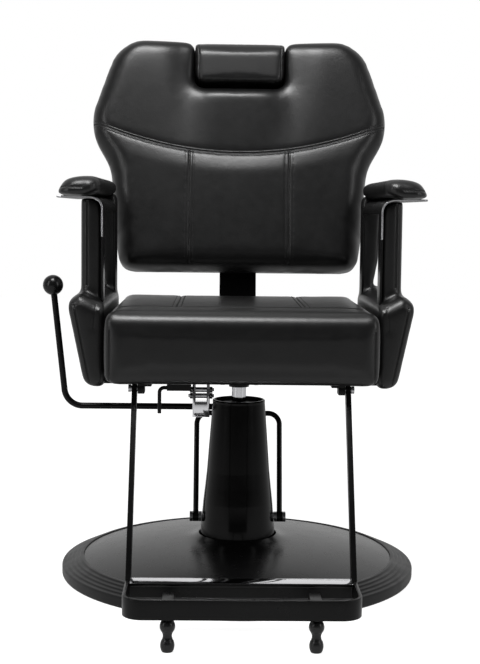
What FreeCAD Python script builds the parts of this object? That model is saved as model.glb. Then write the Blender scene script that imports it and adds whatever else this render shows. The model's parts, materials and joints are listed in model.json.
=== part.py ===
import FreeCAD, Part
import math
import os
import re

import Sketcher

# Reclining salon chair, millimetres and degrees. The origin is on the floor under the column, +Z is up and
# the sitter faces -Y.

Vector = FreeCAD.Vector
UP = Vector(0, 0, 1)
ACROSS = Vector(1, 0, 0)
ALONG = Vector(0, 1, 0)

# Driving dimensions
SIZES = {
    "running_gap": 0.05,
    "seat_gap": 0.3,
    "rim_radius": 341,
    "rim_width": 42,
    "rim_height": 36,
    "rim_step": 9,
    "rim_inner_land": 13.2,
    "rim_outer_land": 15.4,
    "plate_thickness": 8,
    "dome_height": 74,
    "dome_edge_height": 34,
    "dome_wall": 3,
    "dome_neck_radius": 76,
    "bearing_radius": 66,
    "bearing_bore": 40,
    "bearing_height": 8,
    "turntable_thickness": 10,
    "cover_bottom_radius": 77,
    "cover_shoulder_radius": 66.5,
    "cover_shoulder_height": 165,
    "cover_waist_radius": 62,
    "cover_waist_height": 172,
    "cover_top_radius": 50,
    "cover_wall": 3,
    "cover_top": 337,
    "cylinder_radius": 30,
    "cylinder_bore": 22,
    "cylinder_top": 318,
    "gland_height": 12,
    "gland_radius": 44,
    "piston_radius": 14,
    "piston_bottom": 60,
    "pump_pivot_height": 105,
    "pump_pin_radius": 6,
    "pump_collar_radius": 10,
    "pump_pin_inner": 60,
    "pump_pin_cap": 6,
    "bail_half_width": 82,
    "bail_eye_width": 11,
    "bail_rod_radius": 5.2,
    "bail_reach": 62,
    "bail_height": 300,
    "bail_bend": 22,
    "clamp_width": 34,
    "clamp_depth": 24,
    "clamp_shift": 8,
    "clamp_foot": 7,
    "clamp_height": 30,
    "clamp_ear_height": 35,
    "clamp_ear_thickness": 6,
    "clamp_bolt_radius": 5,
    "clamp_bolt_spacing": 12,
    "lever_radius": 6.2,
    "lever_rise": 12.5,
    "lever_overhang": 10,
    "lever_corner": 342,
    "lever_bend": 36,
    "ball_offset": 368,
    "ball_height": 552,
    "ball_radius": 20,
    "ball_socket": 10,
    "hub_bottom": 362,
    "hub_radius": 19.5,
    "hub_flange_radius": 60,
    "hub_flange_thickness": 10,
    "hub_height": 23,
    "hub_bolt_radius": 5,
    "hub_bolt_offset": 32,
    "hub_bolt_head": 6,
    "carrier_half_width": 175,
    "carrier_depth": 200,
    "carrier_thickness": 8,
    "rail_width": 24,
    "rail_height": 15,
    "rail_outer": 182.5,
    "rail_front": 250,
    "rail_rear": 215,
    "pan_thickness": 14,
    "pan_margin": 10,
    "seat_width": 480,
    "seat_front": 285,
    "seat_rear": 215,
    "seat_skirt_drop": 23,
    "seat_skirt_wall": 25,
    "seat_thickness": 104,
    "seat_crown": 7,
    "seat_draw": 3,
    "seat_corner": 12,
    "seat_edge_round": 26,
    "seat_end_taper": 4,
    "seat_foot_taper": 5.2,
    "cross_bar_width": 40,
    "cross_bar_front": 130,
    "cross_bar_rear": 160,
    "arm_leg_gap": 12,
    "arm_plate": 4,
    "arm_bend": 24,
    "arm_leg_drop": 2,
    "arm_front": 150,
    "arm_rear": 195,
    "arm_leg_width": 40,
    "arm_height": 726,
    "arm_flange_width": 84,
    "arm_window_top": 698,
    "post_thickness": 35,
    "post_margin": 3,
    "post_corner": 9,
    "rear_post_foot": 14,
    "bolster_top": 552,
    "bolster_bottom": 382,
    "bolster_foot_width": 27,
    "bolster_foot_corner": 20,
    "bolster_width": 59,
    "bolster_shoulder": 16,
    "bolster_length": 390,
    "bolster_front": 190,
    "bolster_corner": 16,
    "bolster_top_corner": 9.6,
    "bolster_edge": 3,
    "bolster_round": 14,
    "bolster_end_taper": 4.2,
    "bolster_wrap": 9.8,
    "arm_pad_width": 80,
    "arm_pad_length": 400,
    "arm_pad_front": 212,
    "arm_pad_setback": 5,
    "arm_pad_thickness": 28,
    "arm_pad_crown": 5,
    "arm_pad_corner": 12,
    "arm_pad_draw": 1,
    "arm_pad_end_round": 21.6,
    "arm_pad_end_taper": 15,
    "arm_pad_end_drop": 8.6,
    "arm_pad_end_corner": 4.8,
    "hanger_drop": 13,
    "hanger_depth": 30,
    "hanger_thickness": 12,
    "footrest_pivot_y": 235,
    "footrest_pivot_drop": 5,
    "footrest_pin_radius": 5,
    "footrest_pin_head": 6.5,
    "footrest_pin_head_width": 5,
    "strut_thickness": 9,
    "strut_width": 20,
    "strut_eye_radius": 10,
    "strut_gap": 1.5,
    "footrest_front": 512,
    "footrest_rear": 380,
    "footrest_corner": 34,
    "footrest_rear_corner": 9,
    "footrest_bar": 6,
    "footrest_bar_height": 33.5,
    "footrest_top": 88,
    "tread_depth": 28,
    "tread_thickness": 7,
    "foot_offset": 119,
    "foot_setback": 8,
    "foot_radius": 12.5,
    "foot_waist": 7.5,
    "foot_clearance": 0.5,
    "foot_neck_radius": 6,
    "foot_base_radius": 8.8,
    "foot_lower_radius": 11.5,
    "foot_groove_radius": 10.2,
    "foot_shoulder_radius": 9.4,
    "foot_lower_height": 15.7,
    "foot_waist_height": 14.7,
    "foot_upper_height": 15.2,
    "foot_neck_height": 3.4,
    "lug_width": 20,
    "lug_depth": 70,
    "lug_height": 25,
    "back_pivot_y": 272,
    "back_pivot_height": 440,
    "back_lean": 12,
    "hinge_pin_radius": 8,
    "hinge_knuckle_radius": 17,
    "hinge_ear_thickness": 10,
    "hinge_flange_width": 30,
    "hinge_flange_length": 70,
    "hinge_side_gap": 0.4,
    "post_width": 78,
    "post_bar": 10,
    "post_length": 330,
    "crank_length": 75,
    "crank_thickness": 12,
    "crank_pin_radius": 5,
    "crank_half_width": 9,
    "crank_angle": 25,
    "board_thickness": 10,
    "board_margin": 8,
    "back_bottom": 122.5,
    "back_top": 628,
    "back_bottom_half": 251,
    "back_waist_half": 276,
    "back_waist": 346,
    "back_wing_half": 325.5,
    "back_wing": 432,
    "back_top_half": 261,
    "back_thickness": 75,
    "back_crown": 5,
    "back_draw": 4,
    "back_round": 24,
    "back_rear_round": 7,
    "back_crown_margin": 48,
    "back_bottom_corner": 30,
    "back_waist_corner": 110,
    "back_wing_corner": 95,
    "back_top_corner": 75,
    "notch_lip_corner": 16,
    "notch_floor_corner": 22,
    "notch_depth": 108,
    "notch_gap": 4,
    "headrest_width": 191,
    "headrest_height": 87,
    "headrest_lift": 8,
    "headrest_thickness": 74,
    "headrest_crown": 6,
    "headrest_corner": 16,
    "headrest_draw": 2,
    "headrest_end_taper": 6.4,
    "headrest_rear_taper": 4.8,
    "headrest_front_taper": 8,
    "headrest_board": 6,
    "slide_bar_width": 30,
    "slide_bar_thickness": 6,
    "slide_bar_length": 215,
    "sleeve_wall": 3,
    "sleeve_length": 130,
    "sleeve_bar_gap": 0.3,
    "lock_cylinder_radius": 14,
    "lock_cylinder_length": 146,
    "lock_cylinder_front": 70,
    "lock_clearance": 2,
    "lock_rod_radius": 5,
    "lock_rod_insert": 62,
    "lock_eye_play": 1.5,
    "lock_eye_wall": 5,
    "saddle_width": 10,
    "release_y": 60,
    "release_height": 366,
    "release_radius": 3.6,
    "release_inner": 92,
    "release_outer": 152,
    "release_drop": 49,
    "release_bend": 9,
    "release_block": 14,
    "release_length": 46,
    "release_wall": 1.5,
}

# Places worked out from the driving dimensions
PLACES = {
    "plate_radius": "rim_radius - rim_width - seat_gap",
    "rim_inner": "rim_radius - rim_width",
    "rim_shelf": "rim_height - rim_step",
    "rim_lower_shelf": "rim_height - 2 * rim_step",
    "rim_step_inner": "rim_inner + rim_inner_land",
    "rim_step_outer": "rim_radius - rim_outer_land",
    "rim_nose": "rim_radius - rim_step",
    "dome_edge_inner": "plate_radius - dome_wall",
    "dome_inner_height": "dome_height - dome_wall",
    "dome_edge_inner_height": "dome_edge_height - dome_wall",
    "bearing_top": "plate_thickness + bearing_height",
    "turntable_bottom": "bearing_top + seat_gap",
    "turntable_top": "turntable_bottom + turntable_thickness",
    "cover_bottom_inner": "cover_bottom_radius - cover_wall",
    "cover_shoulder_inner": "cover_shoulder_radius - cover_wall",
    "cover_waist_inner": "cover_waist_radius - cover_wall",
    "cover_top_inner": "cover_top_radius - cover_wall",
    "hub_top": "max(hub_bottom + hub_height; release_height + release_block / 2)",
    "hub_flange_bottom": "hub_top - hub_flange_thickness",
    "carrier_top": "hub_top + carrier_thickness",
    "rail_top": "carrier_top + rail_height",
    "pan_top": "rail_top + pan_thickness",
    "seat_bottom": "pan_top - seat_skirt_drop",
    "seat_top": "pan_top + seat_thickness",
    "seat_half": "seat_width / 2",
    "arm_inner": "seat_half + arm_leg_gap",
    "arm_outer": "arm_inner + arm_plate",
    "arm_flange_bottom": "arm_height - arm_plate",
    "arm_flange_outer": "arm_inner + arm_flange_width",
    "arm_foot": "hub_top - arm_leg_drop",
    "post_inner": "arm_outer + seat_gap",
    "footrest_pivot_z": "carrier_top - footrest_pivot_drop",
    "strut_inner": "rail_outer + strut_gap",
    "footrest_half": "strut_inner + strut_thickness",
    "footrest_bottom": "footrest_top - footrest_bar_height",
    "crank_swing": "(1 + cos(crank_angle * 1deg)) / 2",
    "lock_ceiling": "hub_top - lock_clearance - lock_cylinder_radius",
    "lock_axis": "min(lock_ceiling; back_pivot_height - crank_length * crank_swing)",
    "crank_reach": "(back_pivot_height - lock_axis) / crank_swing",
    "eye_room": "crank_reach * (1 - crank_swing) + lock_eye_play",
    "crank_y": "back_pivot_y + crank_reach * sin(crank_angle * 1deg)",
    "post_half": "post_width / 2",
    "ear_inner": "post_half + hinge_side_gap",
    "ear_rear": "back_pivot_y + hinge_knuckle_radius",
    "ear_front": "back_pivot_y - hinge_knuckle_radius",
    "hinge_flange_front": "rail_rear - hinge_flange_length",
    "hinge_flange_bottom": "rail_top - hinge_ear_thickness",
    "ear_top": "max(rail_top; back_pivot_height + hinge_knuckle_radius)",
    "ear_bottom": "min(hinge_flange_bottom; back_pivot_height - hinge_knuckle_radius)",
}

doc = FreeCAD.newDocument("salon_chair")


def fill_sheet(name, cells, prefix):
    sheet = doc.addObject("Spreadsheet::Sheet", name)
    for row, (alias, content) in enumerate(cells.items(), 1):
        sheet.set("A%d" % row, alias)
        sheet.setAlias("B%d" % row, alias)
        sheet.set("B%d" % row, prefix + str(content))
    return sheet


def full_names(text):
    """Point each size or place named in a formula at its sheet."""
    def sheet_name(word):
        alias = word.group()
        if alias in SIZES:
            return "sizes." + alias
        if alias in PLACES:
            return "places." + alias
        return alias
    return re.sub(r"[a-z][a-z_]+", sheet_name, text)


sizes = fill_sheet("sizes", SIZES, "")
doc.recompute()
places = fill_sheet("places", {alias: full_names(text) for alias, text in PLACES.items()}, "=")
doc.recompute()


def mm(alias):
    """The present value of a size or place."""
    sheet = sizes if alias in SIZES else places
    return float(getattr(sheet.get(alias), "Value", sheet.get(alias)))


def bind(thing, prop, text):
    thing.setExpression(prop, full_names(text))


def place(thing, x="0", y="0", z="0", axis=UP):
    thing.Placement = FreeCAD.Placement(Vector(), FreeCAD.Rotation(UP, axis))
    bind(thing, "Placement.Base.x", x)
    bind(thing, "Placement.Base.y", y)
    bind(thing, "Placement.Base.z", z)
    return thing


def cylinder(name, radius, height, x="0", y="0", z="0", axis=UP):
    solid = doc.addObject("Part::Cylinder", name)
    bind(solid, "Radius", radius)
    bind(solid, "Height", height)
    return place(solid, x, y, z, axis)


def cone(name, bottom, top, height, z):
    solid = doc.addObject("Part::Cone", name)
    bind(solid, "Radius1", bottom)
    bind(solid, "Radius2", top)
    bind(solid, "Height", height)
    return place(solid, z=z)


def box(name, length, width, height, x="0", y="0", z="0"):
    solid = doc.addObject("Part::Box", name)
    bind(solid, "Length", length)
    bind(solid, "Width", width)
    bind(solid, "Height", height)
    return place(solid, x, y, z)


def fuse(name, *solids):
    joined = doc.addObject("Part::MultiFuse", name)
    joined.Shapes = list(solids)
    return joined


def cut(name, base, *tools):
    removed = tools[0] if len(tools) == 1 else fuse(name + "_tools", *tools)
    left = doc.addObject("Part::Cut", name)
    left.Base = base
    left.Tool = removed
    return left


def feature(name, shape, placement=None):
    solid = doc.addObject("Part::Feature", name)
    solid.Shape = shape
    if placement:
        solid.Placement = placement
    return solid


def origin_plane(body, role):
    return next(item for item in body.Origin.OriginFeatures if item.Role == role)


def polygon(body, role, corners):
    """A closed sketch whose corners are named sizes or places, all positive or zero."""
    sketch = body.newObject("Sketcher::SketchObject", body.Name + "_outline")
    sketch.AttachmentSupport = (origin_plane(body, role), [""])
    sketch.MapMode = "FlatFace"
    points = [Vector(*[0 if text == "0" else mm(text) for text in corner]) for corner in corners]
    count = len(points)
    for edge in range(count):
        sketch.addGeometry(Part.LineSegment(points[edge], points[(edge + 1) % count]))
    for edge in range(count):
        sketch.addConstraint(Sketcher.Constraint("Coincident", edge, 2, (edge + 1) % count, 1))
    for edge, corner in enumerate(corners):
        for axis_id, kind, text in ((-2, "DistanceX", corner[0]), (-1, "DistanceY", corner[1])):
            if text == "0":
                sketch.addConstraint(Sketcher.Constraint("PointOnObject", edge, 1, axis_id))
                continue
            added = sketch.addConstraint(Sketcher.Constraint(kind, -1, 1, edge, 1, mm(text)))
            bind(sketch, "Constraints[%d]" % added, text)
    return sketch


def turned(name, corners):
    """A body turned about Z from a half outline of radius and height."""
    body = doc.addObject("PartDesign::Body", name)
    sketch = polygon(body, "XZ_Plane", corners)
    turn = body.newObject("PartDesign::Revolution", name + "_turn")
    turn.Profile = sketch
    turn.ReferenceAxis = (sketch, ["V_Axis"])
    turn.Angle = 360
    return body


def side_plate(name, corners, thickness):
    """A body padded along X from an outline of Y and Z."""
    body = doc.addObject("PartDesign::Body", name)
    pad = body.newObject("PartDesign::Pad", name + "_pad")
    pad.Profile = polygon(body, "YZ_Plane", corners)
    bind(pad, "Length", thickness)
    return body


def bent_wire(points, bend):
    """Straight runs joined by tangent arcs of one bend radius."""
    edges = []
    start = points[0]
    for before, corner, after in zip(points, points[1:], points[2:]):
        inward = (before - corner).normalize()
        outward = (after - corner).normalize()
        half_turn = (math.pi - inward.getAngle(outward)) / 2
        trim = bend * math.tan(half_turn)
        first = corner + inward * trim
        last = corner + outward * trim
        bisector = (inward + outward).normalize()
        middle = corner + bisector * (bend / math.cos(half_turn) - bend)
        edges.append(Part.LineSegment(start, first).toShape())
        edges.append(Part.Arc(first, middle, last).toShape())
        start = last
    edges.append(Part.LineSegment(start, points[-1]).toShape())
    return Part.Wire(edges)


def bent_rod(points, bend, radius):
    path = bent_wire(points, bend)
    ring = Part.Wire(Part.Circle(points[0], points[1] - points[0], radius).toShape())
    return path.makePipeShell([ring], True, False)


def inset(corners, distance):
    """A counter-clockwise outline drawn in by one distance all round."""
    lines = []
    for (ax, ay), (bx, by) in zip(corners, corners[1:] + corners[:1]):
        length = math.hypot(bx - ax, by - ay)
        dx, dy = (bx - ax) / length, (by - ay) / length
        lines.append((ax - dy * distance, ay + dx * distance, dx, dy))
    drawn = []
    for (px, py, pdx, pdy), (qx, qy, qdx, qdy) in zip(lines[-1:] + lines[:-1], lines):
        step = ((qx - px) * qdy - (qy - py) * qdx) / (pdx * qdy - pdy * qdx)
        drawn.append((px + pdx * step, py + pdy * step))
    return drawn


def rounded_wire(corners, radii, to_space):
    """A closed wire of lines and corner arcs, mapped into space."""
    ends = []
    count = len(corners)
    for index, (radius, (x, y)) in enumerate(zip(radii, corners)):
        corner = Vector(x, y)
        inward = (Vector(*corners[index - 1]) - corner).normalize()
        outward = (Vector(*corners[(index + 1) % count]) - corner).normalize()
        half_turn = (math.pi - inward.getAngle(outward)) / 2
        trim = radius * math.tan(half_turn)
        depth = radius / math.cos(half_turn) - radius
        middle = corner + (inward + outward).normalize() * depth
        ends.append([to_space(point.x, point.y)
                     for point in (corner + inward * trim, middle, corner + outward * trim)])
    edges = []
    for index, (first, middle, last) in enumerate(ends):
        edges.append(Part.Arc(first, middle, last).toShape())
        edges.append(Part.LineSegment(last, ends[(index + 1) % count][0]).toShape())
    return Part.Wire(edges)


def padded_wire(low, high, corner, crown, draw, to_space):
    """A rounded box outline with a crowned top and drawn-in sides."""
    (left, bottom), (right, top) = low, high
    slant = corner * (1 - math.sqrt(0.5))
    middle_x = (left + right) / 2
    middle_y = (bottom + top) / 2

    def arc(first, middle, last):
        return Part.Arc(to_space(*first), to_space(*middle), to_space(*last)).toShape()

    foot = Part.LineSegment(to_space(left + corner, bottom), to_space(right - corner, bottom)).toShape()
    return Part.Wire([
        foot,
        arc((right - corner, bottom), (right - slant, bottom + slant), (right, bottom + corner)),
        arc((right, bottom + corner), (right - draw, middle_y), (right, top - corner)),
        arc((right, top - corner), (right - slant, top - slant), (right - corner, top)),
        arc((right - corner, top), (middle_x, top + crown), (left + corner, top)),
        arc((left + corner, top), (left + slant, top - slant), (left, top - corner)),
        arc((left, top - corner), (left + draw, middle_y), (left, bottom + corner)),
        arc((left, bottom + corner), (left + slant, bottom + slant), (left + corner, bottom)),
    ])


def end_rounding(start, end, depth):
    """Stations along a pad, each with its share of the drawing-in of the ends."""
    near = [(start + depth * (1 - math.cos(angle)), 1 - math.sin(angle))
            for angle in (0, math.pi / 6, math.pi / 3, math.pi / 2)]
    far = [(start + end - station, share) for station, share in reversed(near)]
    return near + far


def loft(wires):
    return Part.makeLoft(wires, True, True)


SIDES = (("left", -1), ("right", 1))


def mirrored(shape, side):
    return shape if side > 0 else shape.mirror(Vector(), ACROSS)


# Base: plate, dome, rim and lower bearing ring

def make_base():
    rim = turned("base_rim", [
        ("rim_inner", "0"), ("rim_nose", "0"), ("rim_radius", "rim_step"),
        ("rim_radius", "rim_lower_shelf"), ("rim_step_outer", "rim_lower_shelf"),
        ("rim_step_outer", "rim_shelf"), ("rim_step_inner", "rim_shelf"),
        ("rim_step_inner", "rim_height"), ("rim_inner", "rim_height")])
    dome = turned("base_dome", [
        ("plate_radius", "plate_thickness"), ("plate_radius", "dome_edge_height"),
        ("dome_neck_radius", "dome_height"), ("dome_neck_radius", "dome_inner_height"),
        ("dome_edge_inner", "dome_edge_inner_height"), ("dome_edge_inner", "plate_thickness")])
    ring = cylinder("bearing_disc", "bearing_radius", "bearing_height", z="plate_thickness")
    hole = cylinder("bearing_hole", "bearing_bore", "bearing_height", z="plate_thickness")
    return {
        "base_plate": cylinder("base_plate", "plate_radius", "plate_thickness"),
        "base_rim": rim,
        "base_dome": dome,
        "swivel_bearing": cut("swivel_bearing", ring, hole),
    }


# Turret: turntable, column cover, pump cylinder, gland and pivot pins

def make_turret():
    turntable = cylinder("turntable", "cover_bottom_radius", "turntable_thickness", z="turntable_bottom")
    cover = turned("column_cover", [
        ("cover_bottom_inner", "turntable_top"), ("cover_bottom_radius", "turntable_top"),
        ("cover_shoulder_radius", "cover_shoulder_height"), ("cover_waist_radius", "cover_waist_height"),
        ("cover_top_radius", "cover_top"), ("cover_top_inner", "cover_top"),
        ("cover_waist_inner", "cover_waist_height"), ("cover_shoulder_inner", "cover_shoulder_height")])
    tube = turned("pump_cylinder", [
        ("cylinder_bore", "turntable_top"), ("cylinder_radius", "turntable_top"),
        ("cylinder_radius", "cylinder_top"), ("cylinder_bore", "cylinder_top")])
    gland_disc = cylinder("gland_disc", "gland_radius", "gland_height", z="cylinder_top")
    gland_bore = cylinder("gland_bore", "piston_radius + running_gap", "gland_height", z="cylinder_top")
    nodes = {
        "turntable": turntable,
        "column_cover": cover,
        "pump_cylinder": tube,
        "cylinder_gland": cut("cylinder_gland", gland_disc, gland_bore),
    }
    for side_name, side in SIDES:
        nodes["pump_pin_" + side_name] = make_pump_pin(side_name, side)
    return nodes


def make_pump_pin(side_name, side):
    """A stub shaft on the cover with a collar inside the bail's eye and a cap outside it."""
    axis = ACROSS * side
    sign = "" if side > 0 else "-"
    name = "pump_pin_" + side_name
    eye_inner = "(bail_half_width - bail_eye_width / 2 - seat_gap)"
    eye_outer = "(bail_half_width + bail_eye_width / 2 + seat_gap)"
    height = "pump_pivot_height"
    collar = cylinder(name + "_collar", "pump_collar_radius", eye_inner + " - pump_pin_inner",
                      x=sign + "pump_pin_inner", z=height, axis=axis)
    shaft = cylinder(name + "_shaft", "pump_pin_radius", eye_outer + " - pump_pin_inner",
                     x=sign + "pump_pin_inner", z=height, axis=axis)
    cap = cylinder(name + "_cap", "pump_collar_radius", "pump_pin_cap",
                   x=sign + eye_outer, z=height, axis=axis)
    column = cone(name + "_column", "cover_bottom_radius", "cover_shoulder_radius",
                  "cover_shoulder_height - turntable_top", "turntable_top")
    return cut(name, fuse(name + "_solid", collar, shaft, cap), column)


# Pump bail with its lever

def make_bail():
    half = mm("bail_half_width")
    low = mm("pump_pivot_height")
    reach = mm("bail_reach")
    high = mm("bail_height")
    wire = bent_rod([Vector(-half, 0, low), Vector(-half, reach, high),
                     Vector(half, reach, high), Vector(half, 0, low)],
                    mm("bail_bend"), mm("bail_rod_radius"))
    rod = feature("bail_rod", wire)
    eyes = []
    holes = []
    for side_name, side in SIDES:
        sign = "" if side > 0 else "-"
        start = sign + "bail_half_width - bail_eye_width / 2"
        eyes.append(cylinder("bail_eye_" + side_name, "pump_collar_radius", "bail_eye_width",
                             x=start, z="pump_pivot_height", axis=ACROSS))
        holes.append(cylinder("bail_hole_" + side_name, "pump_pin_radius + running_gap", "bail_eye_width",
                              x=start, z="pump_pivot_height", axis=ACROSS))
    bail = cut("pump_bail", fuse("bail_solid", rod, *eyes), *holes)
    return {"pump_bail": bail, **make_lever(rod)}


def make_lever(bail_rod):
    """The clamp sits on the bail's left bend and holds the long lever with its ball."""
    left = "-bail_half_width - clamp_width / 2 + clamp_shift"
    clamp_bottom = "bail_height - clamp_foot"
    clamp_top = clamp_bottom + " + clamp_height"
    front = "bail_reach - clamp_depth / 2"
    block = box("clamp_block", "clamp_width", "clamp_depth", "clamp_height", left, front, clamp_bottom)
    ears = [box("clamp_ear_" + name, "clamp_ear_thickness", "clamp_depth", "clamp_ear_height",
                start, front, clamp_top)
            for name, start in (("near", left), ("far", left + " + clamp_width - clamp_ear_thickness"))]
    bolts = []
    ear_middle = clamp_top + " + clamp_ear_height / 2"
    for name, sign in (("upper", " + "), ("lower", " - ")):
        bolts.append(cylinder("clamp_bolt_" + name, "clamp_bolt_radius",
                              "clamp_width - 2 * clamp_ear_thickness",
                              x=left + " + clamp_ear_thickness", y="bail_reach",
                              z=ear_middle + sign + "clamp_bolt_spacing / 2", axis=ACROSS))
    clamp_far = mm("clamp_shift") - mm("bail_half_width") + mm("clamp_width") / 2
    lever_end = clamp_far + mm("lever_overhang")
    y = mm("bail_reach")
    z = mm("bail_height") + mm("lever_rise")
    rise = Vector(mm("lever_corner") - mm("ball_offset"), 0, mm("ball_height") - z).normalize()
    ball_middle = Vector(-mm("ball_offset"), y, mm("ball_height"))
    tip = ball_middle - rise * (mm("ball_radius") - mm("ball_socket"))
    rod = bent_rod([Vector(lever_end, y, z), Vector(-mm("lever_corner"), y, z), tip],
                   mm("lever_bend"), mm("lever_radius"))
    lever = feature("pump_lever", rod)
    ball = Part.makeSphere(mm("ball_radius"), ball_middle)
    socket = Part.makeCylinder(mm("lever_radius"), mm("ball_radius"), tip, -rise)
    return {
        "lever_clamp": cut("lever_clamp", fuse("clamp_solid", block, *ears), bail_rod, lever),
        "clamp_bolts": fuse("clamp_bolts", *bolts),
        "pump_lever": lever,
        "lever_ball": feature("lever_ball", ball.cut(socket)),
    }


# Seat carrier: piston, hub, plates, rails and pan

def make_carrier():
    piston = cylinder("piston", "piston_radius", "hub_bottom - piston_bottom", z="piston_bottom")
    hub = turned("seat_hub", [
        ("0", "hub_bottom"), ("hub_radius", "hub_bottom"), ("hub_radius", "hub_flange_bottom"),
        ("hub_flange_radius", "hub_flange_bottom"), ("hub_flange_radius", "hub_top"), ("0", "hub_top")])
    plate = box("carrier_plate", "2 * carrier_half_width", "carrier_depth", "carrier_thickness",
                "-carrier_half_width", "-carrier_depth / 2", "hub_top")
    pan = box("seat_pan", "seat_width - 2 * (seat_skirt_wall + pan_margin)",
              "rail_front + rail_rear - pan_margin", "pan_thickness",
              "-seat_half + seat_skirt_wall + pan_margin", "-rail_front", "rail_top")
    nodes = {"piston": piston, "seat_hub": hub, "carrier_plate": plate, "seat_pan": pan}
    bolts = []
    for index, (x, y) in enumerate(((1, 1), (1, -1), (-1, 1), (-1, -1))):
        bolts.append(cylinder("hub_bolt_%d" % index, "hub_bolt_radius", "hub_bolt_head",
                              x="%d * hub_bolt_offset" % x, y="%d * hub_bolt_offset" % y,
                              z="hub_flange_bottom - hub_bolt_head"))
    nodes["hub_bolts"] = fuse("hub_bolts", *bolts)
    for side_name, start in (("left", "-rail_outer"), ("right", "rail_outer - rail_width")):
        nodes["seat_rail_" + side_name] = box(
            "seat_rail_" + side_name, "rail_width", "rail_front + rail_rear", "rail_height",
            start, "-rail_front", "carrier_top")
    for place_name, middle in (("front", "-cross_bar_front"), ("rear", "cross_bar_rear")):
        nodes["arm_cross_bar_" + place_name] = box(
            "arm_cross_bar_" + place_name, "2 * arm_inner", "cross_bar_width", "carrier_thickness",
            "-arm_inner", middle + " - cross_bar_width / 2", "hub_top")
    return nodes


# Seat cushion: a crowned box with a skirt that hides the rails

def make_seat():
    half = mm("seat_half")
    wires = []
    edge = mm("seat_edge_round")
    for y, share in end_rounding(-mm("seat_front"), mm("seat_rear"), edge):
        side = half - share * mm("seat_end_taper")
        wires.append(padded_wire(
            (-side, mm("seat_bottom") + share * mm("seat_foot_taper")),
            (side, mm("seat_top") - mm("seat_crown") - share * edge),
            mm("seat_corner"), mm("seat_crown"), mm("seat_draw"),
            lambda x, z, y=y: Vector(x, y, z)))
    wall = mm("seat_skirt_wall")
    length = mm("seat_front") + mm("seat_rear")
    corner = Vector(wall - half, wall - mm("seat_front"), 0)
    recess = Part.makeBox(2 * (half - wall), length, mm("pan_top"), corner)
    return {"seat_cushion": feature("seat_cushion", loft(wires).cut(recess))}


# Arms: bracket, front and rear post pads, side bolster and arm pad

def make_arm(side_name, side):
    def named(piece):
        return piece + "_" + side_name

    legs = {"front": (-mm("arm_front"), mm("post_thickness")),
            "rear": (mm("arm_rear") - mm("arm_leg_width"), mm("rear_post_foot"))}
    nodes = {named("arm_bracket"): feature(named("arm_bracket"), mirrored(arm_bracket(), side))}
    for place_name, (start, foot_thickness) in legs.items():
        piece = named("arm_post_" + place_name)
        nodes[piece] = feature(piece, mirrored(post_pad(start, foot_thickness), side))
    nodes[named("side_bolster")] = feature(named("side_bolster"), mirrored(bolster(), side))
    nodes[named("arm_pad")] = feature(named("arm_pad"), mirrored(arm_pad(), side))
    return nodes


def arm_bracket():
    """A sheet bent outwards at the top, with a window between its two legs."""
    inner, outer, far = mm("arm_inner"), mm("arm_outer"), mm("arm_flange_outer")
    foot, top, under = mm("arm_foot"), mm("arm_height"), mm("arm_flange_bottom")
    bend = mm("arm_bend")
    front = -mm("arm_front")

    def at(x, z):
        return Vector(x, front, z)

    def turn(radius):
        slant = radius * math.sqrt(0.5)
        return at(inner + bend - slant, top - bend + slant)

    edges = [
        Part.LineSegment(at(outer, foot), at(inner, foot)),
        Part.LineSegment(at(inner, foot), at(inner, top - bend)),
        Part.Arc(at(inner, top - bend), turn(bend), at(inner + bend, top)),
        Part.LineSegment(at(inner + bend, top), at(far, top)),
        Part.LineSegment(at(far, top), at(far, under)),
        Part.LineSegment(at(far, under), at(inner + bend, under)),
        Part.Arc(at(inner + bend, under), turn(bend - mm("arm_plate")), at(outer, top - bend)),
        Part.LineSegment(at(outer, top - bend), at(outer, foot)),
    ]
    depth = mm("arm_front") + mm("arm_rear")
    sheet = Part.Face(Part.Wire([edge.toShape() for edge in edges])).extrude(ALONG * depth)
    window = Part.makeBox(mm("arm_plate"), depth - 2 * mm("arm_leg_width"), mm("arm_window_top") - foot,
                          Vector(inner, front + mm("arm_leg_width"), foot))
    return sheet.cut(window)


def post_pad(start, foot_thickness):
    """An upholstered upright on the outside of a bracket leg, that may taper to its foot."""
    margin = mm("post_margin")
    inner = mm("post_inner")
    full = mm("post_thickness")
    near, far = start + margin, start + mm("arm_leg_width") - margin
    bottom = mm("bolster_top") + mm("seat_gap")
    top = mm("arm_flange_bottom") - mm("seat_gap")
    wires = []
    for share, drawn in ((0, 0), (0.5, margin), (1, 0)):
        z = bottom + share * (top - bottom)
        thickness = foot_thickness + share * (full - foot_thickness)
        corners = [(inner, near), (inner + thickness, near), (inner + thickness, far), (inner, far)]
        wires.append(rounded_wire(inset(corners, drawn), [mm("post_corner") * thickness / full] * 4,
                                  lambda x, y, z=z: Vector(x, y, z)))
    return loft(wires).cut(bend_corner(start))


def bend_corner(start):
    """What lies on the outer side of the bracket's bend, over one leg."""
    bend = mm("arm_bend")
    low = mm("arm_height") - bend
    block = Part.makeBox(bend, mm("arm_leg_width"), bend, Vector(mm("arm_inner"), start, low))
    hollow = Part.makeCylinder(bend - mm("arm_plate") - mm("seat_gap"), mm("arm_leg_width"),
                               Vector(mm("arm_inner") + bend, start, low), ALONG)
    return block.cut(hollow)


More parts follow.
